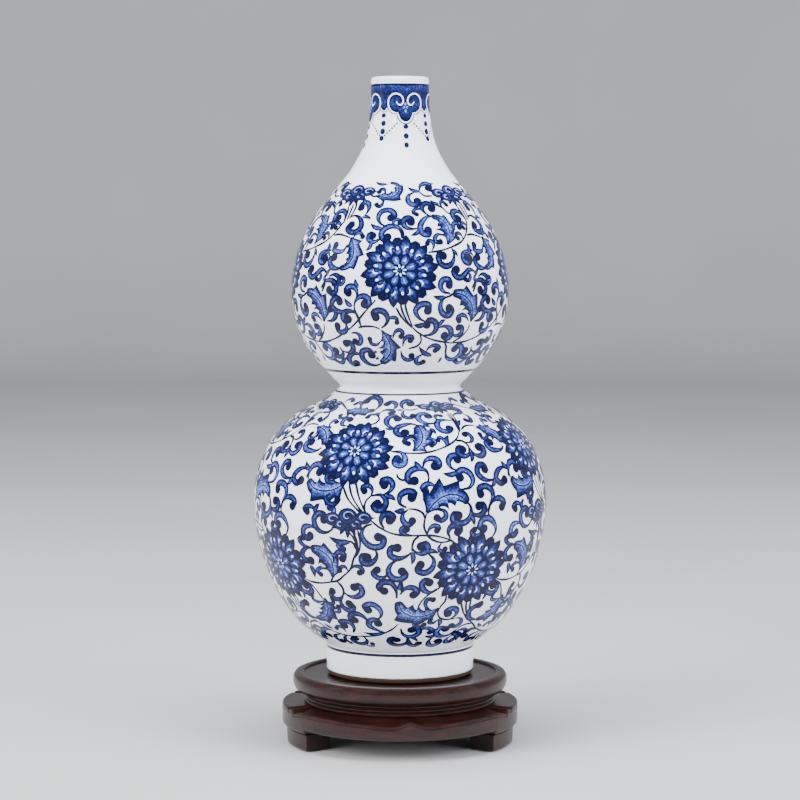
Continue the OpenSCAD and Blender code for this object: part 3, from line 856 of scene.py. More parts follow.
LOWER_CURLS = [
    [(-44, 43), (-48, 43), (-52, 45), (-53, 49), (-51, 52), (-48, 53)],
    [(-36, 56), (-39, 55), (-42, 56), (-42, 59)],
    [(-36, 57), (-34, 55), (-31, 55), (-31, 58)],
    [(-34, 50), (-32, 49), (-29, 50), (-29, 53)],
    [(-49, 67), (-48, 64), (-46, 61), (-43, 60), (-41, 62), (-42, 65), (-44, 65)],
    [(-39, 35), (-43, 36), (-47, 35), (-49, 32), (-46, 31)],
    [(-36, 33), (-40, 32), (-42, 29), (-40, 27), (-38, 28)],
    [(-31, 33), (-34, 31), (-35, 29), (-33, 27)],
    [(27, 30), (30, 28), (34, 30), (35, 33), (32, 34)],
    [(-36, 151), (-37.8, 149.2), (-41, 148.7), (-45, 150), (-46, 153), (-43, 153.6)],
    [(-42, 160), (-43.6, 156.2), (-46.4, 156), (-46.4, 158.4)],
    [(-38, 162.5), (-38.8, 165), (-37.4, 166.8), (-35.4, 165.6)],
    [(-38.5, 132), (-38.6, 136), (-37.4, 140), (-34.6, 141.2), (-32.8, 138.8), (-33.6, 136.8)],
    [(-24, 131), (-26.4, 131.2), (-29.6, 132.4), (-29.8, 135), (-27.6, 135.2)],
    [(-38.5, 137), (-41, 138.5), (-45, 136.4), (-46.5, 132.6), (-44.2, 129.2), (-42, 131)],
    [(-27.5, 124.5), (-29.2, 121.6), (-28, 118.6), (-25, 118.6), (-24.2, 121)],
    [(25, 120.6), (27.3, 117), (27.6, 112.4), (26, 108), (22.8, 106.6), (20, 109), (20.6, 112.4),
     (22.4, 111.4)],
    [(14, 127), (13, 130), (10.2, 131), (8.4, 128.6), (9.8, 126.6)],
    [(14, 116.4), (16.8, 114.5), (17.4, 111.4), (15.4, 109), (13.8, 110.6)],
    [(27.3, 114.5), (29, 111.6), (32, 111.3), (33.6, 114), (32.8, 117.2), (31, 116.6)],
    [(24, 127), (27.8, 128.3), (29.4, 132), (28.6, 136.2), (25.6, 138.6), (23, 136.6), (24, 134.2)],
    [(22.8, 138.5), (20.8, 140.2), (20, 143.5), (21.6, 146.8), (24.4, 146.9), (24.1, 144.8)],
    [(11.3, 134), (10.6, 138.4), (7.6, 140.2), (4.6, 139.2), (2.9, 136), (3.4, 132.8), (5.6, 133)],
    [(9, 140.5), (10.2, 144.4), (13, 146), (15.8, 144.2), (15.6, 141.2), (14, 141.4)],
    [(2.5, 117), (0, 119.5), (0, 124), (2.5, 126.8), (5.5, 125.5), (4.4, 123)],
    [(3, 115.8), (1, 113), (1.3, 108.6), (3.5, 106.6), (4.6, 109)],
    [(4.5, 100.2), (2.2, 100.8), (0.2, 103), (1.6, 105.2), (2.6, 103.8)],
    [(10.2, 100.5), (11, 104), (13, 106), (14.8, 104.4), (13.9, 102.8)],
    [(19.3, 97.5), (18.3, 101.6), (19.5, 105), (22, 105), (23.3, 102.6), (22.2, 101.4)],
    [(15.8, 94.8), (14.8, 92), (16.2, 89.6), (17.4, 91.2)],
    [(30.8, 154.3), (33.5, 154.5), (35, 157), (33.6, 159.4), (31.8, 158.8)],
    [(31, 151), (30.2, 147.6), (27, 146.8), (25.3, 149.4), (26.4, 151.5), (27.8, 150.6)],
    [(31.3, 151), (33, 147.2), (36, 146.2), (38.4, 149), (37.5, 152.1), (36, 151.2)],
    [(40.5, 132.4), (37, 131.5), (33.5, 133.5), (32, 137), (33.5, 140.9), (36, 140.4), (35.9, 138.3)],
    [(35.6, 113), (36.4, 117.5), (37.9, 121.6), (37.4, 125.8), (34.8, 128.2), (31.6, 126.6), (32.2, 123.8)],
    [(36, 116), (38, 119.4), (41.6, 120), (43.3, 117.5), (42, 114.9)],
    [(37.6, 96.4), (39.2, 101), (38, 105.6), (35, 108.8), (32, 107), (31.5, 103.6), (33.5, 102.4)],
    [(32.3, 103), (31.5, 99.3), (29, 98.6), (27.8, 101), (29.2, 102.2)],
    [(19.5, 166), (15, 165.6), (11, 167.2), (10.1, 169.4), (12.6, 171), (16, 170.8), (16.4, 169.6)],
    [(28.8, 166.8), (25, 167.4), (21, 167), (19.3, 164.5), (20.2, 162), (24, 161.1), (25.4, 162.6)],
    [(21.5, 167), (20.1, 168.6), (21.6, 170.1), (24, 169.7)],
    [(20.5, 152.4), (20.3, 156), (18.5, 158), (17.4, 156.2)],
    [(9, 164.8), (6, 165.6), (2, 165), (-1.4, 163.4), (-1.8, 160.8), (0.8, 159.3), (2.4, 160.9)],
    [(7.5, 156.4), (5.4, 158.2), (2.6, 157.4), (1.9, 155.2), (3.6, 154.6)],
    [(11.5, 156.4), (14.4, 157.2), (16, 155), (14, 153.4)],
    [(-0.8, 163), (-4, 163.5), (-7, 166), (-6.5, 169), (-3.2, 170), (-1.2, 168.4)],
    [(-12.2, 169), (-14, 170.5), (-17.6, 170.4), (-18.6, 169)],
    [(-12.3, 171.6), (-9.8, 173), (-6, 173.1), (-3.8, 172), (-5.6, 171.4)],
    [(-4.8, 173.1), (-3, 174.6), (-3.7, 177), (-7, 177.5), (-9.6, 176.2)],
    [(2.6, 173.5), (1, 175.6), (3, 177.6), (7, 177.9), (9, 176.6), (7.4, 176.2)],
    [(2.7, 173), (1.5, 171), (3.2, 169.2), (6.2, 169), (7.8, 170.2)],
    [(-16.2, 173), (-14.4, 176), (-16.4, 178.9), (-21, 180), (-25.4, 179), (-26.8, 177.4)],
    [(-28, 173.6), (-29.6, 176.2), (-32.4, 177), (-34.2, 175.8)],
    [(-31, 170.6), (-32.6, 168.5), (-35, 168), (-36.6, 169.6)],
    [(-46, 176.2), (-44.4, 178), (-41.4, 178.6), (-39.2, 177.4)],
    [(32, 169.5), (34.6, 170.4), (38, 170.7), (40.2, 171.6), (39.4, 173.4), (37.2, 172.8)],
    [(40.2, 170.7), (42, 168.2), (40.6, 165.8), (38, 166.8)],
    [(-10.5, 107), (-13.4, 104.8), (-14.5, 101), (-13.4, 96), (-10, 92.6), (-6.6, 94.2),
     (-6.2, 98), (-8.2, 99)],
    [(-9.7, 92), (-8.8, 88), (-10, 84.2), (-12.6, 82), (-15, 83.8), (-14.4, 87), (-12.6, 86.2)],
    [(-5.9, 104.2), (-7.1, 108), (-6.5, 112), (-4, 113.3), (-2.4, 111), (-3.8, 109.4)],
    [(-11, 123.6), (-10.5, 127.5), (-12, 130), (-14.5, 128.6), (-13.6, 126.8)],
    [(-10.8, 124), (-7.2, 124.5), (-5.2, 121), (-6, 117), (-8.6, 115.6), (-10, 118), (-8.4, 119.2)],
    [(-6.4, 124.5), (-3.5, 127.5), (-2.8, 131), (-4.5, 133.8), (-7, 132.4), (-6, 130.6)],
    [(-3, 150), (0, 149.8), (2, 146.8), (1.6, 143.2), (-0.8, 142), (-2.3, 144.2), (-1.2, 145.8)],
    [(-27.3, 163.8), (-30.8, 164.2), (-32, 166.5), (-30, 168.3), (-28, 167.4)],
    [(-26, 103), (-28.6, 100.6), (-31.6, 101), (-33.6, 104), (-34.2, 108.4), (-32.2, 111.8), (-29.6, 111),
     (-29.8, 108.4)],
    [(-31, 111.6), (-28.5, 110.7), (-26, 112), (-25.4, 114.8), (-27.3, 116)],
    [(-34.1, 111), (-34.6, 115), (-37, 116), (-39, 114), (-37.4, 112.5)],
    [(-32.8, 102), (-36, 103.8), (-39.4, 102), (-39.7, 98), (-37.6, 96), (-36.4, 97.6)],
    [(-27, 81.5), (-26, 86.4), (-24, 88.8), (-21.8, 87), (-22.8, 84.6)],
    [(-30, 77), (-33.2, 77.8), (-35.4, 75.6), (-33.8, 73.6)],
    [(-36, 90.3), (-39.8, 89), (-41.6, 85.6), (-40.4, 82), (-37.4, 81.8)],
    [(-37, 90.6), (-40.6, 91.6), (-42.4, 94.6), (-40, 96.2)],
    [(-19.5, 95), (-22.6, 95), (-24.4, 92.6), (-22, 90.8)],
    [(-21, 76.8), (-22, 79.6), (-24, 79), (-24.6, 77)],
    [(-20, 78), (-18, 80.3), (-15.4, 79.4), (-14.8, 77), (-16.2, 76.2)],
    [(-24.5, 63), (-22, 60.5), (-18.5, 60.5), (-16, 64), (-17.3, 67.8), (-19.3, 66.6)],
    [(-24.6, 62.6), (-26.2, 59), (-29, 58), (-31, 60.6), (-29.8, 63.2)],
    [(-25.4, 60.2), (-27, 56), (-26, 52.2), (-23.5, 51), (-21.4, 53.4), (-23, 55.4)],
    [(-10.6, 45.2), (-8.6, 49.4), (-9.9, 53.8), (-13, 56), (-16, 53.9), (-14.6, 51.8)],
    [(-15.4, 41.8), (-17, 46.6), (-20.5, 49), (-24, 47.4), (-24.2, 44.4), (-22.4, 44.4)],
    [(-8, 36.4), (-12.5, 38.4), (-15.7, 41.4), (-14, 45), (-11.2, 45), (-10.8, 42.6)],
    [(-26, 35.3), (-24.4, 38.4), (-25.2, 41.8), (-28, 43.2), (-31.2, 41.8), (-29.6, 39.9)],
    [(-30.5, 35), (-31.2, 37.8), (-34, 39), (-35.8, 37.2)],
    [(-20.6, 32.6), (-20, 29.6), (-23, 27.2), (-27.6, 27.2), (-29.4, 29.6), (-27, 31)],
    [(-22.6, 27.6), (-21, 25.6), (-18.2, 25.6), (-17.4, 27.6)],
    [(-1.4, 60), (-1.6, 65), (-3.6, 70), (-7, 70.4), (-8.8, 67.2), (-6.6, 64.8)],
    [(0, 62.6), (2.6, 66.8), (6, 66.5), (7.3, 63.7), (5.6, 62.2)],
    [(13.8, 52), (11.2, 55.6), (12, 59.2), (14.4, 58.8)],
    [(5.8, 45), (6.8, 41.8), (9.6, 40.4), (12, 42)],
    [(4.7, 92), (6, 89.5), (9, 89), (10.7, 91.6), (9.8, 94.7), (7.9, 93.2)],
    [(4.4, 89.5), (2, 86.8), (-1.2, 85.8), (-3.8, 88), (-3.4, 92), (-1, 92.4)],
    [(0.4, 85.8), (-3.4, 82.2), (-4.6, 77.4), (-3, 73.4), (0.2, 72.6), (2.3, 75.4), (0.8, 77.6)],
    [(-4.5, 77), (-6.4, 73.6), (-9, 73.5), (-10.7, 76.4), (-9, 78.4)],
    [(10.6, 89), (13.2, 84.4), (12.5, 79), (9.4, 76.4), (6.8, 78.6), (8, 81.6)],
    [(15.5, 65.2), (12.4, 63.6), (9.6, 66), (9, 69.5), (10.6, 71.6), (12, 70.1)],
    [(25, 45), (27.3, 47.8), (26.6, 51.4), (24, 52.2), (21.8, 50.4), (23, 48.6)],
    [(28, 45.6), (31, 44.5), (31.8, 41.6), (29.5, 39.4), (26.8, 40.2)],
    [(18.8, 45.4), (16.6, 43), (14.2, 43.2), (14.8, 45.2)],
    [(0.4, 39.4), (1.2, 36), (4, 33.7), (8, 34), (10, 37), (8, 39.9), (6, 38.3)],
    [(10.3, 36), (12, 39.2), (15.5, 39), (17.4, 37), (16, 36.2)],
    [(4.5, 33.5), (5, 30), (6.6, 27), (9.6, 26.3), (11.4, 28)],
    [(4, 33.2), (3.8, 28.8), (0, 27), (-4.4, 27.6), (-6.2, 30), (-4.4, 32.4), (-2, 31)],
    [(30.5, 36.6), (28, 33.4), (24, 32.8), (21, 34), (19.6, 36.4), (21.6, 38.9), (24.6, 38)],
    [(18.7, 33), (17.3, 29.2), (19.2, 26.2), (23, 26), (24.9, 28.3), (23.2, 29.4)],
    [(31, 34.4), (33.4, 36.4), (37, 36.6), (38.8, 34)],
    [(30.6, 33), (28.4, 30.4), (29.6, 27.8), (33, 27.8), (33.4, 29.6)],
]
LOWER_LEAFLETS = [
    ((-47, 62), (-48, 56), 1.0),
    ((-38, 37), (-43, 40), 1.0),
    ((-38.6, 137.5), (-41.5, 142.5), 1.5), ((27.5, 111), (29, 104.7), 1.3), ((23.5, 137.5), (17, 137), 1.4),
    ((8.5, 140.3), (6, 144.8), 1.5), ((1.8, 116.3), (-2.4, 115), 1.4), ((31.3, 149), (30.2, 142.7), 1.3),
    ((40, 132), (37.4, 127.5), 1.3), ((31, 163.5), (34.5, 167), 1.1), ((21, 153), (23.2, 159), 1.5),
    ((-3, 162.8), (-7.5, 163.3), 0.9), ((2, 173.3), (-2.5, 173.3), 0.9), ((-5.5, 124), (-1.5, 121.3), 1.3),
    ((-33.8, 112.5), (-31.7, 118.2), 1.3), ((-38.5, 79), (-37.2, 71), 1.5), ((-19, 95.5), (-28, 98), 1.6),
    ((-8, 36.2), (-20, 35.9), 1.4), ((-24.5, 37.5), (-23.5, 42), 1.0), ((0, 65), (0.8, 71.5), 1.2),
    ((9.5, 89.5), (15, 88.7), 1.3), ((4.5, 90), (4.5, 81.7), 1.3), ((19, 46), (19.7, 39.7), 1.2),
    ((5.5, 33), (10.5, 29.5), 1.0), ((21, 34), (13.5, 33.5), 1.3), ((30.5, 34.5), (37, 28), 1.4),
    ((-12, 171.6), (-16.5, 170.8), 1.1), ((14.6, 163), (17.4, 159.6), 1.2),
    ((11.5, 164.8), (15.4, 163.6), 1.1),
]


def paint_lower_bulb(material):
    brush = Brush(lean=2.0)
    lower_stems(brush)
    leaf(brush, [(-46, 162.6), (-40, 161), (-36.2, 157.4), (-34.8, 152.6)],
         [0.4, 3.6, 4.2, 1.0], [0.4, 6.4, 6.4, 1.2], dark_left=True)
    leaf(brush, [(-21.6, 131), (-26, 127), (-31, 125.8), (-35.5, 127.6), (-38.2, 132)],
         [0.4, 5.6, 6.6, 5.6, 0.9], [0.4, 5.4, 6.0, 5.0, 0.9])
    leaf(brush, [(10, 113.5), (12.6, 119), (16, 123), (20, 124.3), (24, 122.6), (26.4, 118.8)],
         [0.5, 7.6, 7.8, 6.6, 5.4, 1.0], [0.4, 4.6, 5.6, 5.6, 4.0, 0.8])
    leaf(brush, [(5.5, 150.2), (9, 154), (10.5, 158), (10.3, 162), (8.6, 164.8)],
         [0.4, 4.6, 7.0, 6.6, 0.8], [0.3, 4.0, 6.0, 5.6, 0.8], (2, 3))
    leaf(brush, [(-36, 172.6), (-31, 172), (-26, 172), (-21, 172.2), (-16.4, 173)],
         [0.4, 4.4, 4.4, 3.8, 0.8], [0.4, 4.4, 5.0, 3.6, 0.8], dark_left=True)
    leaf(brush, [(-28.3, 72), (-27.4, 78), (-28, 83.6), (-31.6, 88.6), (-36.8, 90.2)],
         [0.4, 6.6, 8.4, 7.0, 0.8], [0.4, 5.0, 5.0, 4.0, 0.8])
    leaf(brush, [(17.6, 53), (15, 50), (10, 47.6), (5, 48.2), (1, 51.6), (-1, 58)],
         [0.4, 3.6, 6.0, 7.2, 5.0, 0.9], [0.4, 4.0, 6.4, 6.6, 5.0, 0.8])
    leaf(brush, [(-35, 58), (-35, 52), (-37, 47), (-41, 44), (-46, 43)],
         [0.4, 5.6, 5.4, 3.6, 0.9], [0.4, 5.0, 4.6, 3.4, 0.8])
    for points in LOWER_CURLS:
        curl(brush, points, 1.12, 1.06)
    for base, tip, width in LOWER_LEAFLETS:
        leaflet(brush, base, tip, width)
    flower(brush, (-19.5, 150), 25.5, 23.5)
    flower(brush, (30, 77), 27, 25)
    bud(brush, (26.5, 174.6), 1.1)
    bud(brush, (-20, 108.8), 1.35)
    brush.mesh("painting_lower_bulb", material)


# ------------------------------------------------------------------ neck collar and ring lines

COLLAR_MIDDLE = 12.0   # angle of the front lappet
COLLAR_HALF = 42.5     # the last angle in COLLAR_EDGE, which is spread to 45
COLLAR_EDGE = [
    (0, 350.2), (5, 350.6), (10, 352), (14, 354.4), (15.6, 356), (19, 356), (25, 356.7), (30, 358.2),
    (33.5, 360), (36, 358.9), (40, 357.7), (42.5, 357.4),
]
COLLAR_TOP = 375.4


def collar_edge(off):
    """Height of the collar's lower edge at an angle off the middle of a lappet."""
    points = smooth_curve(COLLAR_EDGE, 4)
    return np.interp(np.abs(off) * COLLAR_HALF / 45, points[:, 0], points[:, 1])


def collar_fill(brush):
    off = np.linspace(-45, 45, 61)
    low, high = s_at(collar_edge(off)), s_at(COLLAR_TOP)
    share = np.array([0, 0.04, 0.09, 0.2, 0.35, 0.5, 0.65, 0.8, 0.92, 0.97, 1.0])[:, None]
    s = low[None, :] + (high - low)[None, :] * share
    grid = np.tile(COLLAR_MIDDLE + off, (len(share), 1))
    depth = np.array([1, 1, 0.86, 0.66, 0.6, 0.68, 0.8, 0.64, 0.58, 1.0, 1.0])[:, None]
    brush.lay(grid, s, depth + 0 * s, LIFT)


OUTLINED = (-1, -0.5, -0.38, 0, 0.38, 0.5, 1)


def white_line(brush, points, half=1.15, layer=2):
    """A line of bare glaze between two dark edges."""
    flat, radius = brush.chart(points)
    path, _ = even_path(flat, 0.7)
    t = np.linspace(0, 1, len(path))
    width = half * (0.55 + 0.45 * ease(6 * np.minimum(t + 0.03, 1.03 - t)))
    ink = np.tile(np.array([1, 1, -0.1, -0.1, -0.1, 1, 1.0]), (len(path), 1))
    brush.ribbon((path, radius), width, width, ink, OUTLINED, layer)


def paint_neck(material):
    brush = Brush(lean=3.5)
    collar_fill(brush)
    middle = 10.5
    ruyi = [(14, 356.9), (20, 356.9), (26, 357.9), (31, 359.8), (33.6, 362.9), (31.6, 366.2), (26, 368.3),
              (18, 369), (10.4, 368.2), (5.2, 366.2), (4.4, 364), (7.4, 362.1), (11.8, 361.9),
              (15.4, 362.8),
              (17.4, 364)]
    for side in (-1, 1):
        white_line(brush, [(middle + side * x, z) for x, z in ruyi])
        white_line(brush, [(middle + side * x, z) for x, z in
                           [(34.5, 360.2), (37.4, 358.8), (40, 358.2), (42.5, 358)]], 0.95, layer=1)
    white_line(brush, [(middle + x, z) for x, z in
                       [(-15, 357), (-13.2, 355), (-9.6, 352.6), (-5, 351.3), (0, 350.9), (5, 351.3),
                        (9.6, 352.6), (13.2, 355), (15, 357)]], layer=3)
    for place, rx, ry in (
        ((10.5, 348.3), 1.15, 1.25), ((10.5, 342.4), 1.15, 1.55), ((10.2, 336.8), 1.05, 1.55),
        ((53.5, 355.4), 1.05, 1.2), ((53.8, 350.4), 1.15, 1.45), ((53.4, 345.4), 1.25, 1.6),
        ((52.8, 341), 1.15, 1.45),
    ):
        dot(brush, place, 1.6 * rx, 1.25 * ry, 0.8)
    for k in range(6):
        x, z = 16 + 21.5 * k / 5, 350.2 - 7.4 * k / 5
        for side in (-1, 1):
            dot(brush, (middle + side * x, z), 0.62, 0.66, 1.0)
    for x, z in ((0, 358.2), (-3, 360.5), (3.2, 360.4), (0, 362.5)):
        dot(brush, (middle + x, z), 0.7, 0.9, 0.25, layer=2)
    brush.mesh("painting_neck", material)


def paint_rings(material):
    """Plain lines turned round the waist and above the foot."""
    brush = Brush(lean=0)
    for height, half, ink in ((195.6, 1.15, 1.0), (181.6, 0.8, 0.9), (18.5, 0.9, 1.0)):
        s = s_at(height) + half * np.array([-1, -0.5, 0.5, 1])[:, None]
        grid = np.tile(np.linspace(0, PERIOD, 46), (4, 1))
        brush.lay(grid, s + 0 * grid, np.array([0.8, 1, 1, 0.8])[:, None] * ink + 0 * grid, LIFT)
    brush.mesh("painting_rings", material)


# ------------------------------------------------------------------ the stand

STAND_BORE = 50.0      # radius of the opening through the waist and base rings
HEAD_R = 3.8           # radius of a screw's head
COUNTERBORE_R, COUNTERBORE_DEPTH = 4.2, 4.0


def bullnose_plate(material):
    low, high = bottom_of("stand_top_plate"), top_of("stand_top_plate")
    edge = box_mm("stand_top_plate")[1][0]
    seat_r, seat_depth = edge - 7.2, high - FOOT_Z
    thick = high - low
    corner = [(edge - 4.4, 0), (edge - 2.6, 0.6), (edge - 1.3, 1.9), (edge - 0.4, 3.9), (edge, 6.2),
              (edge - 0.1, 8.2), (edge - 0.6, thick - 1.7), (edge - 1.5, thick - 0.6), (edge - 3, thick)]
    rows = [(0, 0)] + [tuple(p) for p in smooth_curve(corner, 3)]
    rows += [(seat_r + 0.7, high - low), (seat_r + 0.2, high - low - 0.25),
             (seat_r, high - low - seat_depth),
             (0, high - low - seat_depth)]
    piece = lathe("turned_top_plate", [(r, z + low) for r, z in rows], material, 240, sharp=30)
    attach(piece, "stand")
    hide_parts("stand_top_plate")


def reeded_waist(material):
    low, high = bottom_of("stand_waist_ring"), top_of("stand_waist_ring")
    outer, reeds = box_mm("stand_waist_ring")[1][0], 3
    reed = (high - low) / reeds / 2
    rows = [(STAND_BORE, low)]
    for k in range(reeds):
        middle = low + reed * (2 * k + 1)
        rows += [(outer - reed + reed * math.cos(a * RAD), middle + reed * math.sin(a * RAD))
                 for a in range(-75, 76, 15)]
    rows.append((STAND_BORE, high))
    piece = lathe("reeded_waist_ring", rows, material, 240, sharp=50)
    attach(piece, "stand")
    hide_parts("stand_waist_ring")


CUSP_ANGLE = 5.5
APRON_RIM = [
    (0, 0.1), (2.5, 0.7), (5, 2.2), (8, 3.1), (12, 3.2), (18, 2.5), (24, 2.05), (30, 1.65), (38, 1.1),
    (46, 0.75), (54, 0.85), (59, 1.4), (62, 2.4), (63.4, 2.5), (64.4, 0.6), (65.6, -0.1), (67, 0.5),
    (68.4, 1.3), (69.6, 0.9), (71, 0.0), (90, 0.0),
]


def rim_dip(angle):
    """Depth of the apron's rim below the base ring's top, at an angle from the front."""
    a = (angle + 180) % 360 - 180
    if abs(a) > 90:
        a = (180 - abs(a)) * (-1 if a > 0 else 1)
    shift = CUSP_ANGLE * max(0.0, 1 - abs(a) / 60)
    return float(np.interp(abs(a - shift), *zip(*APRON_RIM)))


RELIEF = 2.0
RELIEF_HALF = 53.0


def relief_at(angle):
    """How far an apron's underside is cut back between its legs."""
    off = abs((angle + 90) % 180 - 90)
    return RELIEF * float(ease((RELIEF_HALF + 0.6 - off) / 1.2))


def apron_side(angle, outer, low, high):
    """Closed outline of the base ring at an angle: up its moulded face, then in under the waist."""
    dip = rim_dip(angle)
    rim, foot = high - dip, low + relief_at(angle)
    side = [(STAND_BORE, foot), (outer - 2.4, foot), (outer - 1.2, foot + 0.5), (outer - 0.3, foot + 1.4),
            (outer, foot + 3.0), (outer, rim - 3.4), (outer - 0.02, rim - 2.5), (outer - 0.35, rim - 2.2),
            (outer - 0.35, rim - 1.9), (outer - 0.02, rim - 1.6), (outer, rim - 1.1),
            (outer - 0.35, rim - 0.4), (outer - 0.95, rim - 0.05), (outer - 1.7, rim - 0.1)]
    for share in (0.12, 0.3, 0.5, 0.72, 1.0):
        sag = 0.5 * math.sin(math.pi * share) * min(1.0, 0.3 + dip)
        z = rim - 0.3 + (high - rim + 0.3) * share - sag
        side.append((outer - 1.7 - share * 12.8, min(high, z)))
    return side + [(STAND_BORE, high)]


def carved_base(material):
    low, high = bottom_of("stand_base_ring"), bottom_of("stand_waist_ring")
    outer = box_mm("stand_base_ring")[1][0]
    segments = 480
    verts = []
    for k in range(segments):
        angle = 360 / segments * k
        side = apron_side(angle, outer, low, high)
        verts += [turned(angle, r, z) for r, z in side]
    rows = len(side)
    faces = []
    for k in range(segments):
        n = (k + 1) % segments
        for i in range(rows):
            j = (i + 1) % rows
            faces.append((k * rows + i, n * rows + i, n * rows + j, k * rows + j))
    piece = make_mesh("carved_base_ring", verts, faces, material, sharp=38)
    bore_out(piece, low)
    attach(piece, "stand")
    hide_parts("stand_base_ring")


def bore_out(piece, low):
    """Cuts the counterbores that the screw heads sit in, with cutters that overrun the underside."""
    overrun = 1.0
    circle_r = box_mm("plate_screws")[1][0] - HEAD_R
    for k in range(4):
        a = 90 * k * RAD
        middle = low + COUNTERBORE_DEPTH / 2 - overrun / 2
        place = Vector((circle_r * math.sin(a), -circle_r * math.cos(a), middle)) * MM
        bpy.ops.mesh.primitive_cylinder_add(
            vertices=48, radius=COUNTERBORE_R * MM, location=place,
            depth=(COUNTERBORE_DEPTH + overrun) * MM)
        cutter = bpy.context.object
        cut = piece.modifiers.new("counterbore", "BOOLEAN")
        cut.operation, cut.solver, cut.object = "DIFFERENCE", "EXACT", cutter
        bpy.context.view_layer.objects.active = piece
        bpy.ops.object.modifier_apply(modifier=cut.name)
        bpy.data.objects.remove(cutter, do_unlink=True)


LEG_OUTER, LEG_DEPTH, LEG_HALF = 73.6, 18.8, 13.0    # outer radius, depth and half angle


def leg_ring(across=24, along=7):
    """The leg's plan as (angle, radius): outer face, right side, inner face, left side."""
    swing = [-LEG_HALF + 2 * LEG_HALF * k / across for k in range(across + 1)]
    depths = [LEG_DEPTH * (k + 1) / (along + 1) for k in range(along)]
    back = [LEG_HALF - 2 * LEG_HALF * k / across for k in range(across + 1)]
    ring = [(a, LEG_OUTER) for a in swing]
    ring += [(LEG_HALF, LEG_OUTER - d) for d in depths]
    ring += [(a, LEG_OUTER - LEG_DEPTH) for a in back]
    return ring + [(-LEG_HALF, LEG_OUTER - d) for d in reversed(depths)]


def shaped_leg(node, angle, material):
    """A block cut from a ring, its corners rounded and its faces slightly drawn in low down."""
    low, high = bottom_of(node), top_of(node)
    ring, levels = leg_ring(), 10
    count = len(ring)
    verts = []
    for level in range(levels + 1):
        share = level / levels
        z = low + (high - low) * share
        pinch = 0.55 * (1 - share) ** 2 + (0.6 if level == 0 else 0)
        for a, r in ring:
            toward = (r - (LEG_OUTER - LEG_DEPTH / 2)) / (LEG_DEPTH / 2)
            turn = a * (1 - pinch / (LEG_HALF * RAD * LEG_OUTER)) + angle
            verts.append(turned(turn, r - toward * pinch, z))
    faces = [tuple(reversed(range(count)))]
    for level in range(levels):
        lower, upper = level * count, (level + 1) * count
        for k in range(count):
            n = (k + 1) % count
            faces.append((lower + k, lower + n, upper + n, upper + k))
    faces.append(tuple(levels * count + k for k in range(count)))
    piece = make_mesh("shaped_" + node, verts, faces, material, sharp=30)
    edge = piece.modifiers.new("soft_edges", "BEVEL")
    edge.width, edge.segments, edge.limit_method, edge.angle_limit = 0.5 * MM, 3, "ANGLE", 40 * RAD
    bpy.context.view_layer.objects.active = piece
    bpy.ops.object.modifier_apply(modifier=edge.name)
    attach(piece, "stand")
    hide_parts(node)


def dress_node(name, material):
    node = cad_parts[name]
    node.data.materials.clear()
    node.data.materials.append(material)


# ------------------------------------------------------------------ build

def build_vase():
    glaze = porcelain_material()
    foot_section(foot_rim_and_shade_material())
    for node in ("lower_bulb_base", "lower_bulb_crown", "waist_collar", "upper_bulb_base",
                 "upper_bulb_crown", "neck"):
        section(node, glaze)
    paint = cobalt_material()
    paint_upper_bulb(paint)
    paint_lower_bulb(paint)
    paint_neck(paint)
    paint_rings(paint)


def build_stand():
    wood = rosewood_material()
    bullnose_plate(wood)
    reeded_waist(wood)
    carved_base(wood)
    for node, angle in (("leg_front_left", -66), ("leg_front_right", 66), ("leg_back_left", -114),
                        ("leg_back_right", 114)):
        shaped_leg(node, angle, wood)
    steel = plain_material("screw_steel", (0.4, 0.41, 0.43), (0.55, 0.56, 0.58), 400, 0.35, 1.0)
    beech = plain_material("dowel_wood", (0.45, 0.3, 0.17), (0.6, 0.44, 0.27), 250, 0.6)
    felt = plain_material("felt", (0.02, 0.03, 0.022), (0.05, 0.07, 0.05), 900, 0.95)
    for name, material in (("plate_screws", steel), ("leg_dowels", beech), ("foot_pads", felt)):
        dress_node(name, material)


def area_light(name, place, target, size, power, colour=(1, 1, 1), mirrored=False):
    data = bpy.data.lights.new(name, "AREA")
    data.shape = "RECTANGLE"
    data.size, data.size_y = size
    data.energy = power
    data.color = colour
    light = bpy.data.objects.new(name, data)
    light.location = place
    light.visible_glossy = mirrored
    light.rotation_euler = (Vector(target) - Vector(place)).to_track_quat("-Z", "Y").to_euler()
    bpy.context.scene.collection.objects.link(light)


FLOOR_R, SWEEP_R = 3400, 700        # the flat floor, and the curve that turns it up
BOWL_TOP, BOWL_WALL, SLAB = 1500, 100, 20


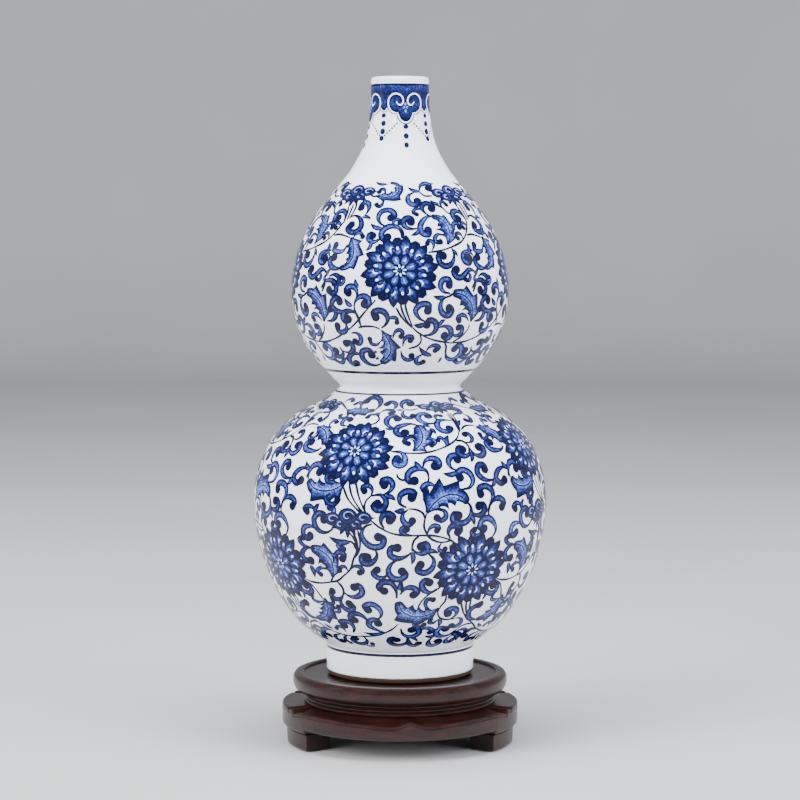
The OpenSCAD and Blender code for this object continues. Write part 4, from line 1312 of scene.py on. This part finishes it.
def build_studio():
    nodes = Nodes("pale_floor")
    nodes.colour(nodes.ramp(nodes.noise(3, 2.0), [(0.3, (0.41, 0.41, 0.42)), (0.7, (0.44, 0.44, 0.45))]))
    nodes.set(Roughness=0.75)
    inner = FLOOR_R + SWEEP_R
    outer = inner + BOWL_WALL
    turn = [(FLOOR_R + SWEEP_R * math.sin(a * RAD), SWEEP_R - SWEEP_R * math.cos(a * RAD))
            for a in range(10, 91, 10)]
    top = [(0, 0), (600, 0), (1800, 0), (FLOOR_R, 0)] + turn + [(inner, BOWL_TOP)]
    floor = lathe("floor_bowl", top + [(outer, BOWL_TOP), (outer, -SLAB), (0, -SLAB)], nodes.material)
    middle = (0, 0, 0.25)
    area_light("key_left", (-1.9, -1.5, 1.3), middle, (1.6, 1.8), 150, (1.0, 0.99, 0.97))
    area_light("key_right", (2.0, -1.3, 1.1), middle, (1.5, 1.8), 118, (0.97, 0.98, 1.0))
    area_light("top", (0, -0.3, 2.0), middle, (1.8, 1.4), 92, (0.96, 0.985, 1.0))
    area_light("strip_left", (-1.5, -0.25, 0.75), middle, (0.30, 1.3), 2, (1, 1, 1), True)
    area_light("strip_right", (1.5, -0.15, 0.7), middle, (0.26, 1.3), 1.4, (1, 1, 1), True)
    world = bpy.data.worlds.new("studio")
    world.use_nodes = True
    world.node_tree.nodes["Background"].inputs["Color"].default_value = (0.82, 0.86, 0.92, 1)
    world.node_tree.nodes["Background"].inputs["Strength"].default_value = 0.5
    bpy.context.scene.world = world


CAMERA_BACK, CAMERA_RISE = 1.652, 0.2995    # metres from the axis and above the vase's foot
CAMERA_TILT, LENS, SENSOR = 4.3, 116.8, 36.0


def build_camera():
    data = bpy.data.cameras.new("camera")
    data.lens, data.sensor_width = LENS, SENSOR
    camera = bpy.data.objects.new("camera", data)
    camera.location = (0, -CAMERA_BACK, FOOT_Z * MM + CAMERA_RISE)
    camera.rotation_euler = ((90 - CAMERA_TILT) * RAD, 0, 0)
    bpy.context.scene.collection.objects.link(camera)
    bpy.context.scene.camera = camera


build_vase()
build_stand()
build_studio()
build_camera()
